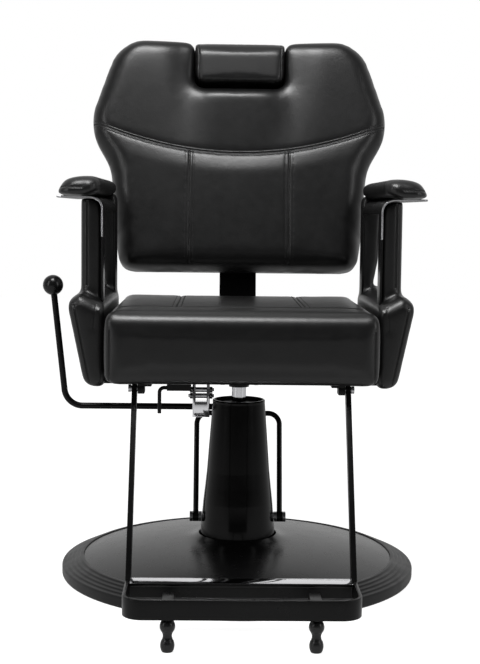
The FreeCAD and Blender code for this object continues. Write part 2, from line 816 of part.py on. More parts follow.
def bolster():
    """The padded side panel, wide at its shoulder and narrow at its foot."""
    inner = mm("post_inner")
    wrapped = inner - mm("bolster_wrap")
    shoulder = mm("bolster_top") - mm("bolster_shoulder")
    bottom = mm("bolster_bottom")
    corners = [(wrapped, bottom), (inner + mm("bolster_foot_width"), bottom),
               (inner + mm("bolster_width"), shoulder),
               (inner + mm("post_thickness"), mm("bolster_top")), (wrapped, mm("bolster_top"))]
    edge = mm("bolster_edge")
    radii = [edge, mm("bolster_foot_corner"), mm("bolster_corner"), mm("bolster_top_corner"), edge]
    front = -mm("bolster_front")
    wires = []
    for y, share in end_rounding(front, front + mm("bolster_length"), mm("bolster_round")):
        wires.append(rounded_wire(inset(corners, share * mm("bolster_end_taper")), radii,
                                  lambda x, z, y=y: Vector(x, y, z)))
    bracket_front = -mm("arm_front") - mm("seat_gap")
    behind = Part.makeBox(mm("bolster_wrap"), mm("bolster_length"), mm("bolster_top") - bottom,
                          Vector(wrapped, bracket_front, bottom))
    return loft(wires).cut(behind)


def arm_pad():
    """The crowned pad on the bracket's flange."""
    outer = mm("arm_flange_outer") - mm("arm_pad_setback")
    inner = outer - mm("arm_pad_width")
    bottom = mm("arm_height") + mm("seat_gap")
    front = -mm("arm_pad_front")
    corner = mm("arm_pad_corner")
    wires = []
    for y, share in end_rounding(front, front + mm("arm_pad_length"), mm("arm_pad_end_round")):
        taper = share * mm("arm_pad_end_taper")
        wires.append(padded_wire(
            (inner + taper, bottom),
            (outer - taper, bottom + mm("arm_pad_thickness") - share * mm("arm_pad_end_drop")),
            corner + share * (mm("arm_pad_end_corner") - corner), mm("arm_pad_crown"), mm("arm_pad_draw"),
            lambda x, z, y=y: Vector(x, y, z)))
    return loft(wires)


# Footrest: hangers and pins on the rails, struts, bar frame, tread, lugs and feet

def make_footrest_pivots():
    hangers = []
    pins = []
    shaft_length = "2 * strut_gap + strut_thickness"
    for side_name, side in SIDES:
        sign = "" if side > 0 else "-"
        hangers.append(box(
            "footrest_hanger_" + side_name, "hanger_thickness", "hanger_depth", "hanger_drop",
            "rail_outer - hanger_thickness" if side > 0 else "-rail_outer",
            "-footrest_pivot_y - hanger_depth / 2", "carrier_top - hanger_drop"))
        for piece, radius, length, start in (
                ("shaft", "footrest_pin_radius", shaft_length, "rail_outer"),
                ("head", "footrest_pin_head", "footrest_pin_head_width",
                 "(rail_outer + " + shaft_length + ")")):
            pins.append(cylinder("footrest_%s_%s" % (piece, side_name), radius, length, sign + start,
                                 "-footrest_pivot_y", "footrest_pivot_z", ACROSS * side))
    return {
        "footrest_hangers": fuse("footrest_hangers", *hangers),
        "footrest_pins": fuse("footrest_pins", *pins),
    }


def make_strut(side_name, side):
    """A flat bar from the pivot eye down to the bar frame's top."""
    pivot = Vector(mm("strut_inner"), -mm("footrest_pivot_y"), mm("footrest_pivot_z"))
    foot_y = -mm("footrest_rear") - mm("strut_width") / 2
    run = Vector(0, foot_y - pivot.y, mm("footrest_top") - pivot.z)
    level_half = ALONG * (mm("strut_width") / 2 * run.Length / -run.z)
    corners = [pivot - level_half, pivot + level_half, pivot + run + level_half, pivot + run - level_half]
    bar = Part.Face(Part.makePolygon(corners + corners[:1])).extrude(ACROSS * mm("strut_thickness"))
    eye = Part.makeCylinder(mm("strut_eye_radius"), mm("strut_thickness"), pivot, ACROSS)
    hole_radius = mm("footrest_pin_radius") + mm("running_gap")
    hole = Part.makeCylinder(hole_radius, mm("strut_thickness"), pivot, ACROSS)
    return feature("footrest_strut_" + side_name, mirrored(bar.fuse(eye).cut(hole), side))


def make_footrest():
    half = mm("footrest_half")
    corners = [(-half, -mm("footrest_front")), (half, -mm("footrest_front")),
               (half, -mm("footrest_rear")), (-half, -mm("footrest_rear"))]
    radii = [mm("footrest_corner")] * 2 + [mm("footrest_rear_corner")] * 2
    bottom = mm("footrest_bottom")
    bar = mm("footrest_bar")

    def level(x, y):
        return Vector(x, y, bottom)

    outer = Part.Face(rounded_wire(corners, radii, level))
    inner = Part.Face(rounded_wire(inset(corners, bar), [radius - bar for radius in radii], level))
    frame = outer.cut(inner).extrude(UP * mm("footrest_bar_height"))
    nodes = {"footrest_frame": feature("footrest_frame", frame)}
    tread = box("tread_block", "2 * (footrest_half - footrest_bar)", "tread_depth", "tread_thickness",
                "-footrest_half + footrest_bar", "-footrest_rear - footrest_bar - tread_depth",
                "footrest_top - tread_thickness")
    nodes["footrest_tread"] = cut("footrest_tread", tread, nodes["footrest_frame"])
    lugs = []
    foot_y = mm("foot_setback") - mm("footrest_front") + mm("footrest_bar")
    for side_name, side in SIDES:
        nodes["footrest_strut_" + side_name] = make_strut(side_name, side)
        lugs.append(box("foot_lug_" + side_name, "lug_width", "lug_depth", "lug_height",
                        "%d * foot_offset - lug_width / 2" % side, "-footrest_front + footrest_bar",
                        "footrest_bottom"))
        nodes["footrest_foot_" + side_name] = feature(
            "footrest_foot_" + side_name, turned_foot(),
            FreeCAD.Placement(Vector(side * mm("foot_offset"), foot_y, 0), FreeCAD.Rotation()))
    nodes["foot_lugs"] = fuse("foot_lugs", *lugs)
    return nodes


def turned_foot():
    """A turned foot with a waist between two bulbs, stretched to reach the bar frame."""
    lower = mm("foot_lower_height")
    waist = mm("foot_waist_height")
    upper = mm("foot_upper_height")
    neck = mm("foot_neck_height")
    low = mm("foot_clearance")
    stretch = (mm("footrest_bottom") - low) / (lower + waist + upper + neck)

    def at(radius, height):
        return Vector(radius, 0, low + height * stretch)

    groove = mm("foot_groove_radius")
    shoulder = mm("foot_shoulder_radius")
    stem = mm("foot_neck_radius")
    foot = at(mm("foot_base_radius"), 0)
    lower_end = at(groove, lower)
    waist_end = at(groove, lower + waist)
    upper_end = at(shoulder, lower + waist + upper)
    neck_foot = at(stem, lower + waist + upper)
    neck_top = at(stem, lower + waist + upper + neck)
    top = at(0, lower + waist + upper + neck)
    outline = [
        Part.LineSegment(at(0, 0), foot),
        Part.Arc(foot, at(mm("foot_lower_radius"), lower / 2), lower_end),
        Part.Arc(lower_end, at(mm("foot_waist"), lower + waist / 2), waist_end),
        Part.Arc(waist_end, at(mm("foot_radius"), lower + waist + upper / 2), upper_end),
        Part.LineSegment(upper_end, neck_foot),
        Part.LineSegment(neck_foot, neck_top),
        Part.LineSegment(neck_top, top),
        Part.LineSegment(top, at(0, 0)),
    ]
    return Part.Face(Part.Wire([edge.toShape() for edge in outline])).revolve(Vector(), UP, 360)


# Back hinge on the seat, and the recline lock under it

def make_back_hinge():
    nodes = {}
    ear = [("hinge_flange_front", "hinge_flange_bottom"), ("rail_rear", "hinge_flange_bottom"),
           ("ear_rear", "ear_bottom"), ("ear_rear", "ear_top"), ("ear_front", "ear_top"),
           ("rail_rear", "rail_top"), ("hinge_flange_front", "rail_top")]
    for side_name, side in SIDES:
        name = "back_hinge_bracket_" + side_name
        plate = side_plate(name + "_ear", ear, "hinge_ear_thickness")
        bind(plate, "Placement.Base.x", "ear_inner" if side > 0 else "-ear_inner - hinge_ear_thickness")
        flange_start = "ear_inner" if side > 0 else "-ear_inner - hinge_flange_width"
        flange = box(name + "_flange", "hinge_flange_width", "hinge_flange_length", "hinge_ear_thickness",
                     flange_start, "hinge_flange_front", "hinge_flange_bottom")
        bore = cylinder(name + "_bore", "hinge_pin_radius", "4 * hinge_flange_width",
                        "-2 * hinge_flange_width", "back_pivot_y", "back_pivot_height", ACROSS)
        nodes[name] = cut(name, fuse(name + "_solid", plate, flange), bore)
    nodes["back_hinge_pin"] = cylinder(
        "back_hinge_pin", "hinge_pin_radius", "2 * (ear_inner + hinge_ear_thickness)",
        "-ear_inner - hinge_ear_thickness", "back_pivot_y", "back_pivot_height", ACROSS)
    return nodes


def make_recline_lock():
    """The lock cylinder hangs from the pan in two saddles, and its rod ends in a slotted eye."""
    axis_z = "lock_axis"
    body = cylinder("lock_body", "lock_cylinder_radius", "lock_cylinder_length",
                    y="lock_cylinder_front", z=axis_z, axis=ALONG)
    bore = cylinder("lock_bore", "lock_rod_radius + running_gap", "lock_cylinder_length - saddle_width",
                    y="lock_cylinder_front + saddle_width", z=axis_z, axis=ALONG)
    saddles = []
    for name, start in (("front", "carrier_depth / 2 + saddle_width / 2"),
                        ("rear", "lock_cylinder_front + lock_cylinder_length - saddle_width")):
        block = box("saddle_block_" + name, "2 * lock_cylinder_radius + saddle_width", "saddle_width",
                    "rail_top - lock_axis", "-lock_cylinder_radius - saddle_width / 2", start, axis_z)
        saddles.append(cut("saddle_" + name, block, cylinder(
            "saddle_bore_" + name, "lock_cylinder_radius", "saddle_width", y=start, z=axis_z, axis=ALONG)))
    rod_start = "lock_cylinder_front + lock_cylinder_length - lock_rod_insert"
    eye_radius = "crank_pin_radius + eye_room + lock_eye_wall"
    shaft = cylinder("lock_shaft", "lock_rod_radius", "crank_y - (" + rod_start + ") - eye_room",
                     y=rod_start, z=axis_z, axis=ALONG)
    eye = cylinder("lock_eye", eye_radius, "crank_thickness", "-crank_thickness / 2", "crank_y", axis_z,
                   ACROSS)
    slot = cylinder("lock_slot", "crank_pin_radius + eye_room", "crank_thickness * 2",
                    "-crank_thickness", "crank_y", axis_z, ACROSS)
    return {
        "lock_cylinder": cut("lock_cylinder", body, bore),
        "lock_saddles": fuse("lock_saddles", *saddles),
        "lock_rod": cut("lock_rod", fuse("lock_rod_solid", shaft, eye), slot),
    }


# Release handle in its bearing block

def make_release():
    z = mm("release_height")
    y = -mm("release_y")
    outer = mm("release_outer")
    wire = bent_rod([Vector(-mm("release_inner"), y, z), Vector(-outer, y, z),
                     Vector(-outer, y, z - mm("release_drop"))], mm("release_bend"), mm("release_radius"))
    under = "release_radius + running_gap + release_wall"
    start = "-release_inner - release_length"
    block = box("release_block_solid", "release_length", "release_block",
                "hub_top - release_height + " + under, start, "-release_y - release_block / 2",
                "release_height - (" + under + ")")
    bore = cylinder("release_bore", "release_radius + running_gap", "release_length", start, "-release_y",
                    "release_height", ACROSS)
    return {
        "release_handle": feature("release_handle", wire),
        "release_bearing": cut("release_bearing", block, bore),
    }


# Back: post, board, cushion and headrest, drawn upright about the hinge and then leaned

def back_space():
    """Placement that leans the upright back about its hinge."""
    pivot = Vector(0, mm("back_pivot_y"), mm("back_pivot_height"))
    return FreeCAD.Placement(pivot, FreeCAD.Rotation(ACROSS, -mm("back_lean")))


def back_outline(notched):
    """The winged outline, counter-clockwise from the bottom left, with its corner radii."""
    right = [(mm("back_bottom_half"), mm("back_bottom"), mm("back_bottom_corner")),
             (mm("back_waist_half"), mm("back_waist"), mm("back_waist_corner")),
             (mm("back_wing_half"), mm("back_wing"), mm("back_wing_corner")),
             (mm("back_top_half"), mm("back_top"), mm("back_top_corner"))]
    if notched:
        notch = mm("headrest_width") / 2 + mm("notch_gap")
        right += [(notch, mm("back_top"), mm("notch_lip_corner")),
                  (notch, mm("back_top") - mm("notch_depth"), mm("notch_floor_corner"))]
    left = [(-x, y, radius) for x, y, radius in reversed(right)]
    whole = right + left
    return [(x, y) for x, y, radius in whole], [radius for x, y, radius in whole]


def back_layers(layers, notched):
    corners, radii = back_outline(notched)
    wires = []
    for depth, drawn in layers:
        wires.append(rounded_wire(inset(corners, drawn), radii,
                                  lambda x, w, depth=depth: Vector(x, -depth, w)))
    return loft(wires)


def make_back():
    bar = mm("post_bar") / 2
    board = bar + mm("board_thickness")
    front = board + mm("back_thickness")
    space = back_space()
    board_shape = back_layers([(bar, mm("board_margin")), (board, mm("board_margin"))], False)
    edge = mm("back_round")
    rear_edge = mm("back_rear_round")
    rim = [(front - edge * (1 - math.sin(angle)), edge * (1 - math.cos(angle)))
           for angle in (0, math.pi / 4, math.pi / 2)]
    middle = ((board + front) / 2, mm("back_draw"))
    crown = (front + mm("back_crown"), mm("back_crown_margin"))
    cushion = back_layers([(board, rear_edge), (board + rear_edge, 0), middle, *rim, crown], True)
    sleeve_half = mm("slide_bar_width") / 2 + mm("sleeve_bar_gap") + mm("sleeve_wall")
    sleeve_depth = mm("slide_bar_thickness") + 2 * (mm("sleeve_bar_gap") + mm("sleeve_wall"))
    notch_floor = mm("back_top") - mm("notch_depth")
    sleeve_bottom = notch_floor - mm("sleeve_length")
    gap = mm("seat_gap")

    def slab(half, near, far, low, high):
        return Part.makeBox(2 * half, far - near, high - low, Vector(-half, -far, low))

    bar_low = notch_floor + mm("headrest_lift") + mm("headrest_height") - mm("slide_bar_length")
    slot = slab(sleeve_half + gap, board, board + sleeve_depth + gap, sleeve_bottom - gap, notch_floor)
    sleeve = slab(sleeve_half, board, board + sleeve_depth, sleeve_bottom, notch_floor)
    bar_near = board + mm("sleeve_wall") + mm("sleeve_bar_gap")
    bar_far = bar_near + mm("slide_bar_thickness")
    bar_half = mm("slide_bar_width") / 2
    play = mm("sleeve_bar_gap")
    channel = slab(bar_half + play, bar_near - play, bar_far + play, sleeve_bottom, notch_floor)
    bar_top = notch_floor + mm("headrest_lift") + mm("headrest_height")
    slide_bar = slab(bar_half, bar_near, bar_far, bar_low, bar_top - mm("headrest_corner"))
    nodes = {
        "back_post": feature("back_post", back_post(), space),
        "back_board": feature("back_board", board_shape, space),
        "back_cushion": feature("back_cushion", cushion.cut(slot), space),
        "headrest_sleeve": feature("headrest_sleeve", sleeve.cut(channel), space),
        "headrest_bar": feature("headrest_bar", slide_bar, space),
    }
    nodes.update(make_headrest(bar_far, bar_top, space))
    return nodes


def back_post():
    """A flat bar with its hinge knuckle and the crank that drives the lock rod."""
    half = mm("post_half")
    bar = mm("post_bar")
    knuckle = Part.makeCylinder(mm("hinge_knuckle_radius"), 2 * half, Vector(-half, 0, 0), ACROSS)
    upright = Part.makeBox(2 * half, bar, mm("post_length"), Vector(-half, -bar / 2, 0))
    angle = math.radians(mm("crank_angle") + mm("back_lean"))
    end = Vector(0, math.sin(angle), -math.cos(angle)) * mm("crank_reach")
    thick = mm("crank_thickness")
    half_width = mm("crank_half_width")
    side = Vector(0, math.cos(angle), math.sin(angle)) * half_width
    offset = Vector(thick / 2 + mm("seat_gap"), 0, 0)
    cheek = Part.Face(Part.makePolygon([offset - side, offset + side, offset + end + side,
                                        offset + end - side, offset - side])).extrude(ACROSS * thick)
    tip = Part.makeCylinder(half_width, thick, offset + end, ACROSS)
    pin = Part.makeCylinder(mm("crank_pin_radius"), 2 * thick, end - ACROSS * (thick / 2), ACROSS)
    bore_radius = mm("hinge_pin_radius") + mm("running_gap")
    bore = Part.makeCylinder(bore_radius, 2 * half, Vector(-half, 0, 0), ACROSS)
    return knuckle.fuse([upright, cheek, tip, pin]).cut(bore).removeSplitter()


def make_headrest(bar_far, bar_top, space):
    half = mm("headrest_width") / 2
    low = bar_top - mm("headrest_height")
    board_front = bar_far + mm("headrest_board")
    margin = mm("headrest_corner")
    board = Part.makeBox(2 * (half - margin), mm("headrest_board"), mm("headrest_height") - 2 * margin,
                         Vector(margin - half, -board_front, low + margin))
    far = board_front + mm("headrest_thickness")
    wires = []
    crown = mm("headrest_crown")
    for x, share in end_rounding(-half, half, margin):
        taper = share * mm("headrest_end_taper")
        wires.append(padded_wire(
            (low + taper, board_front + share * mm("headrest_rear_taper")),
            (bar_top - taper, far - crown - share * mm("headrest_front_taper")),
            margin, crown, mm("headrest_draw"), lambda w, depth, x=x: Vector(x, -depth, w)))
    return {
        "headrest_board": feature("headrest_board", board, space),
        "headrest_cushion": feature("headrest_cushion", loft(wires), space),
    }


def make_nodes():
    nodes = {}
    for make in (make_base, make_turret, make_bail, make_carrier, make_seat, make_footrest_pivots,
                 make_footrest, make_back_hinge, make_recline_lock, make_release, make_back):
        nodes.update(make())
    for side_name, side in SIDES:
        nodes.update(make_arm(side_name, side))
    return nodes


def write_nodes(nodes):
    doc.recompute()
    failed = [item.Name for item in doc.Objects if {"Invalid", "Error"} & set(item.State)]
    if failed:
        raise RuntimeError("failed objects: " + ", ".join(failed))
    for name, node in nodes.items():
        node.Label = name
        if node.Shape.isNull() or not node.Shape.isValid() or not node.Shape.Solids:
            raise RuntimeError("bad shape: " + name)
    os.makedirs("parts", exist_ok=True)
    for name, node in nodes.items():
        node.Shape.exportStep(os.path.join("parts", name + ".step"))


write_nodes(make_nodes())
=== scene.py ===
"""Looks of the reclining salon chair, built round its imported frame."""

import json
import logging
import math
from dataclasses import dataclass
from enum import Enum
from typing import Callable, Sequence

import bmesh
import bpy
from mathutils import Euler, Matrix, Vector
from mathutils.bvhtree import BVHTree
from mathutils.geometry import intersect_point_line
from mathutils.kdtree import KDTree


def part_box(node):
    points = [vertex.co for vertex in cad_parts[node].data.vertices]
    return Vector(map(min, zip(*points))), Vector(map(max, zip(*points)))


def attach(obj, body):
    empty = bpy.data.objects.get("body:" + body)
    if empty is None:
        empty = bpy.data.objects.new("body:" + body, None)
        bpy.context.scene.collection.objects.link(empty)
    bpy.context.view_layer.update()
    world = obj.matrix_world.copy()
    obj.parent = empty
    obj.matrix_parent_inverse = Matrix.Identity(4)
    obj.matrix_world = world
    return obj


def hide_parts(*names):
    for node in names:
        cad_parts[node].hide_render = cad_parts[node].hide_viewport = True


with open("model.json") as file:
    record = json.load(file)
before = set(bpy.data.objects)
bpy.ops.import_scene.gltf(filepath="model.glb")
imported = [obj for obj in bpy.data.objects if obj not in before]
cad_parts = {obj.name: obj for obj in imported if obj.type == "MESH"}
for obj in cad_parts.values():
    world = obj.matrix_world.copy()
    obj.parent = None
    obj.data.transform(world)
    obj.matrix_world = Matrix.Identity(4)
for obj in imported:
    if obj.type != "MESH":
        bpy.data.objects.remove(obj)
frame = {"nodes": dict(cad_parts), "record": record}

LOG = logging.getLogger("salon_chair")
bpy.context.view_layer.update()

Mesh = bmesh.types.BMesh
Socket = bpy.types.NodeSocket
Corner = Place = tuple[float, float, float]
Pair = tuple[float, float]
Line = list[Pair]
Hits = list[tuple[Vector, Vector]]
Height = Callable[[float, float], float]

SIDES = ("left", "right")
MIRROR = Matrix.Diagonal((-1.0, 1.0, 1.0, 1.0))
# From a plan that is drawn as seen from the front to the chair's frame.
UPRIGHT = Matrix(((1, 0, 0, 0), (0, 0, -1, 0), (0, 1, 0, 0), (0, 0, 0, 1)))
# The range that holds most values of a noise, and the faint blue cast of every grey.
NOISE_BAND = (0.3, 0.7)
BLUE_CAST = 1.03
# Distance at which points are one.
WELD = 1e-6
# Stitch rows that run close beside their seam.
CLOSE_ROWS = (-0.005, 0.005)


class Body(str, Enum):
    """The rigid bodies that a piece can ride on."""

    BASE = "base"
    TURRET = "turret"
    BAIL = "bail"
    CARRIER = "carrier"
    FOOTREST = "footrest"
    BACK = "back"
    HEADREST = "headrest"


class Slot(str, Enum):
    """The record's finishes."""

    LEATHER = "black_leather"
    GLOSS = "gloss_black"
    SATIN = "satin_black"
    RIM = "rim_black"
    CHROME = "chrome"
    STEEL = "zinc_steel"
    PLY = "plywood"
    KNOB = "knob_black"
    FOOT = "foot_black"


class Face(Enum):
    """The side of a pad that a seam is sewn on, as the way its line drops onto it."""

    TOP = (0.0, 0.0, -1.0)
    FRONT = (0.0, 1.0, 0.0)

    def start(self, across: float, along: float, away: float = 3.0) -> Vector:
        """Where a point of the line starts to drop."""
        return Vector((across, along, away)) if self is Face.TOP else Vector((across, -away, along))


@dataclass(frozen=True)
class Relief:
    """One layer of bump: features per metre, depth in metres and the share of it that shows."""

    scale: float
    depth: float
    strength: float
    octaves: float = 2.0
    cells: bool = False


class Graph:
    """A short way to wire one material's nodes."""

    def __init__(self, name: str) -> None:
        """Start a material with its principled shader.

        Args:
            name: The material's name.
        """
        self.material = bpy.data.materials.new(name)
        self.material.use_nodes = True
        self.tree = self.material.node_tree
        self.shader = self.tree.nodes["Principled BSDF"]
        self.place = self.tree.nodes.new("ShaderNodeTexCoord").outputs["Object"]

    def add(self, kind: str, **values: object) -> bpy.types.Node:
        """Add a node, on the piece's own coordinates if it is a pattern.

        Args:
            kind: The node's type.
            values: Its properties and socket values, with spaces in their names as underscores.

        Returns:
            The new node.
        """
        node = self.tree.nodes.new(kind)
        for name, value in values.items():
            if hasattr(node, name):
                setattr(node, name, value)
            else:
                node.inputs[name.replace("_", " ")].default_value = value
        if kind.startswith("ShaderNodeTex"):
            self.link(self.place, node.inputs["Vector"])
        return node

    def link(self, start: Socket, end: Socket) -> None:
        """Join two sockets."""
        self.tree.links.new(start, end)

    def cells(self, scale: float) -> Socket:
        """A pattern of soft cells, so many per metre."""
        return self.add("ShaderNodeTexVoronoi", feature="SMOOTH_F1", Scale=scale).outputs["Distance"]

    def noise(self, scale: float, octaves: float) -> Socket:
        """A noise pattern with so many features per metre."""
        return self.add("ShaderNodeTexNoise", Scale=scale, Detail=octaves).outputs["Fac"]

    def roughen(self, factor: Socket, low: float, high: float) -> None:
        """Vary the roughness by a noise.

        Args:
            factor: The noise.
            low: Roughness at the noise's low end.
            high: Roughness at its high end.
        """
        start, end = NOISE_BAND
        node = self.add("ShaderNodeMapRange", From_Min=start, From_Max=end, To_Min=low, To_Max=high)
        self.link(factor, node.inputs["Value"])
        self.link(node.outputs["Result"], self.shader.inputs["Roughness"])

    def tint(self, factor: Socket, dark: float, pale: float) -> None:
        """Vary the grey of the base colour by a noise.

        Args:
            factor: The noise.
            dark: Grey level at the noise's low end.
            pale: Grey level at its high end.
        """
        ramp = self.tree.nodes.new("ShaderNodeValToRGB")
        for stop, grey, place in zip(ramp.color_ramp.elements, (dark, pale), NOISE_BAND):
            stop.position = place
            stop.color = (grey, grey, grey * BLUE_CAST, 1.0)
        self.link(factor, ramp.inputs["Fac"])
        self.link(ramp.outputs["Color"], self.shader.inputs["Base Color"])

    def bump(self, layer: Relief) -> None:
        """Lay a layer of relief over those that are there.

        Args:
            layer: The layer.
        """
        pattern = self.cells(layer.scale) if layer.cells else self.noise(layer.scale, layer.octaves)
        node = self.add("ShaderNodeBump", Strength=layer.strength, Distance=layer.depth)
        self.link(pattern, node.inputs["Height"])
        normal = self.shader.inputs["Normal"]
        if normal.is_linked:
            self.link(normal.links[0].from_socket, node.inputs["Normal"])
        self.link(node.outputs["Normal"], normal)


@dataclass(frozen=True)
class Finish:
    """A near-even grey with an uneven gloss and layers of fine relief."""

    name: str
    tone: Pair
    gloss: Pair
    relief: tuple[Relief, ...]
    shine: float = 0.25
    mottle: Pair = (9.0, 5.0)
    sheen: Pair = (35.0, 4.0)
    metallic: float = 0.0

    def build(self) -> bpy.types.Material:
        """Make the finish.

        Returns:
            The material.
        """
        graph = Graph(self.name)
        graph.tint(graph.noise(*self.mottle), *self.tone)
        graph.roughen(graph.noise(*self.sheen), *self.gloss)
        for layer in self.relief:
            graph.bump(layer)
        graph.shader.inputs["Specular IOR Level"].default_value = self.shine
        graph.shader.inputs["Metallic"].default_value = self.metallic
        return graph.material


@dataclass(frozen=True)
class Leather(Finish):
    """Upholstery leather or cloth: pebbles over creases, with a soft satin gloss."""

    shine: float = 0.44
    mottle: Pair = (14.0, 4.0)
    sheen: Pair = (60.0, 3.0)


@dataclass(frozen=True)
class Metal(Finish):
    """Bare or plated metal, with faint scuffs in its polish."""

    shine: float = 0.5
    mottle: Pair = (20.0, 3.0)
    sheen: Pair = (160.0, 6.0)
    metallic: float = 1.0


CREASES = Relief(130.0, 0.0004, 0.3, octaves=5.0)
PEBBLES = Relief(700.0, 0.00022, 0.35, cells=True)
WEAVE = Relief(1400.0, 0.00022, 0.35, cells=True)
SCRATCHES = Relief(640.0, 0.00004, 0.3)


def peel(scale: float, depth: float) -> tuple[Relief]:
    """The orange peel of a coat of paint."""
    return (Relief(scale, depth, 0.5),)


FINISHES = {
    Slot.LEATHER: Leather("black leather", (0.0028, 0.0052), (0.345, 0.385), (CREASES, PEBBLES)),
    Slot.GLOSS: Finish("gloss black enamel", (0.0025, 0.0045), (0.25, 0.28), peel(300.0, 8e-7)),
    Slot.SATIN: Finish("satin black powder coat", (0.003, 0.006), (0.26, 0.34), peel(1100.0, 2e-5), 0.18),
    Slot.RIM: Finish("matte black moulding", (0.007, 0.012), (0.36, 0.46), peel(1200.0, 4e-5), 0.22),
    Slot.CHROME: Metal("polished chrome", (0.6956, 0.74), (0.05, 0.12), (SCRATCHES,)),
    Slot.STEEL: Metal("zinc plated steel", (0.4324, 0.46), (0.28, 0.42), (SCRATCHES,)),
    Slot.PLY: Leather("black backing cloth", (0.008, 0.013), (0.62, 0.75), (CREASES, WEAVE)),
    Slot.KNOB: Finish("polished black knob", (0.004, 0.006), (0.22, 0.30), peel(300.0, 2e-5), 0.28),
    Slot.FOOT: Finish("turned black foot", (0.006, 0.010), (0.26, 0.36), peel(500.0, 4e-5), 0.4),
    "thread": Finish("black sewing thread", (0.02, 0.035), (0.5, 0.65), peel(3000.0, 1e-4)),
    "column": Finish("polished column enamel", (0.002, 0.0035), (0.13, 0.18), peel(90.0, 1e-5), 0.14),
}


def placed(name: str, mesh: Mesh) -> bpy.types.Object:
    """Put a mesh into the scene.

    Args:
        name: The new object's name.
        mesh: The mesh, freed here.

    Returns:
        The object.
    """
    data = bpy.data.meshes.new(name)
    mesh.to_mesh(data)
    mesh.free()
    piece = bpy.data.objects.new(name, data)
    bpy.context.scene.collection.objects.link(piece)
    return piece


def rounded(mesh: Mesh, geom: list, width: float, steps: int, affect: str = "EDGES",
            clamp: bool = False) -> None:
    """Round edges, or corners of an outline, by a bevel of that width."""
    bmesh.ops.bevel(mesh, geom=geom, offset=width, segments=steps, profile=0.5, affect=affect,
                    clamp_overlap=clamp, material=-1)


class Workshop:
    """Keeps the finishes and turns meshes into finished pieces that ride on the chair's bodies."""

    def __init__(self) -> None:
        """Make every finish once and dress the CAD nodes with them."""
        self.finishes = {slot: finish.build() for slot, finish in FINISHES.items()}
        for part in frame["record"]["subparts"]:
            node = frame["nodes"][part["node"]]
            node.data.materials.clear()
            node.data.materials.append(self.finishes[Slot(part["material_slot"])])

    def finish(self, name: str, mesh: Mesh, body: Body, slot: Slot,
               stands_for: Sequence[str] = (), special: str = "", sharp: float = 40.0) -> bpy.types.Object:
        """Turn a bmesh into a named piece that rides on its body.

        Args:
            name: The piece's name.
            mesh: Its mesh in the frame's metres, freed here.
            body: The body that it rides on.
            slot: The record's slot of its finish.
            stands_for: The CAD nodes that it replaces.
            special: Name of a finish that differs from its slot's own, or none.
            sharp: Edge angle in degrees past which shading breaks.

        Returns:
            The new object.
        """
        bmesh.ops.recalc_face_normals(mesh, faces=mesh.faces)
        limit = math.radians(sharp)
        for face in mesh.faces:
            face.smooth = True
        for edge in mesh.edges:
            edge.smooth = len(edge.link_faces) == 2 and edge.calc_face_angle(0.0) < limit
        piece = placed(name, mesh)
        piece.data.materials.append(self.finishes[special or slot])
        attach(piece, body.value)
        if stands_for:
            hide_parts(*stands_for)
        LOG.info("%s: %d faces on %s", name, len(piece.data.polygons), body.value)
        return piece

    def rounded_copy(self, node: str, body: Body, edge: float, segments: int = 3,
                     slot: Slot = Slot.SATIN) -> None:
        """Replace a CAD node by a copy of it whose edges are rounded.

        Args:
            node: The node.
            body: The body that it rides on.
            edge: Width of the rounding in metres.
            segments: Steps across the rounding.
            slot: Its finish.
        """
        flat, sharp = math.radians(1.0), math.radians(35.0)
        mesh = bmesh.new()
        mesh.from_mesh(frame["nodes"][node].data)
        bmesh.ops.remove_doubles(mesh, verts=mesh.verts, dist=WELD)
        bmesh.ops.dissolve_limit(mesh, angle_limit=flat, verts=mesh.verts, edges=mesh.edges)
        corners = [item for item in mesh.edges
                   if len(item.link_faces) == 2 and item.calc_face_angle(0.0) > sharp]
        rounded(mesh, corners, edge, segments, clamp=True)
        self.finish(node + "_rounded", mesh, body, slot, (node,))


def outline_mesh(corners: Sequence[Corner], steps: int = 8) -> Mesh:
    """One flat face with rounded corners, in the XY plane.

    Args:
        corners: Each corner's place and radius, in order round the outline.
        steps: Segments in each rounded corner.

    Returns:
        The mesh.
    """
    mesh = bmesh.new()
    verts = [mesh.verts.new((u, v, 0.0)) for u, v, _ in corners]
    mesh.faces.new(verts)
    places = [Vector((u, v)) for u, v, _ in corners]
    for index, (vert, (_, _, radius)) in enumerate(zip(verts, corners)):
        before = (places[index - 1] - places[index]).normalized()
        after = (places[(index + 1) % len(places)] - places[index]).normalized()
        trim = radius * math.tan((math.pi - before.angle(after)) / 2)
        rounded(mesh, [vert], trim, steps, "VERTICES")
    return mesh


def drawn_out(mesh: Mesh, end: list[bmesh.types.BMFace], run: Vector) -> list[bmesh.types.BMFace]:
    """Draw a face out along a straight run.

    Args:
        mesh: The mesh.
        end: Its face.
        run: The way and length of the run.

    Returns:
        The new end face.
    """
    moved = bmesh.ops.extrude_face_region(mesh, geom=end)["geom"]
    verts = [item for item in moved if isinstance(item, bmesh.types.BMVert)]
    bmesh.ops.translate(mesh, vec=run, verts=verts)
    return [item for item in moved if isinstance(item, bmesh.types.BMFace)]


def search_tree(points: Sequence[Vector]) -> KDTree:
    """Sort points for a search of the nearest one.

    Args:
        points: The points.

    Returns:
        The search tree.
    """
    tree = KDTree(len(points))
    for index, point in enumerate(points):
        tree.insert(point, index)
    tree.balance()
    return tree


def baked(piece: bpy.types.Object) -> Mesh:
    """Read a piece's mesh with its modifiers, and delete the piece.

    Args:
        piece: The scratch object.

    Returns:
        Its evaluated mesh.
    """
    mesh = bmesh.new()
    mesh.from_object(piece, bpy.context.evaluated_depsgraph_get())
    data = piece.data
    bpy.data.objects.remove(piece)
    bpy.data.meshes.remove(data)
    return mesh


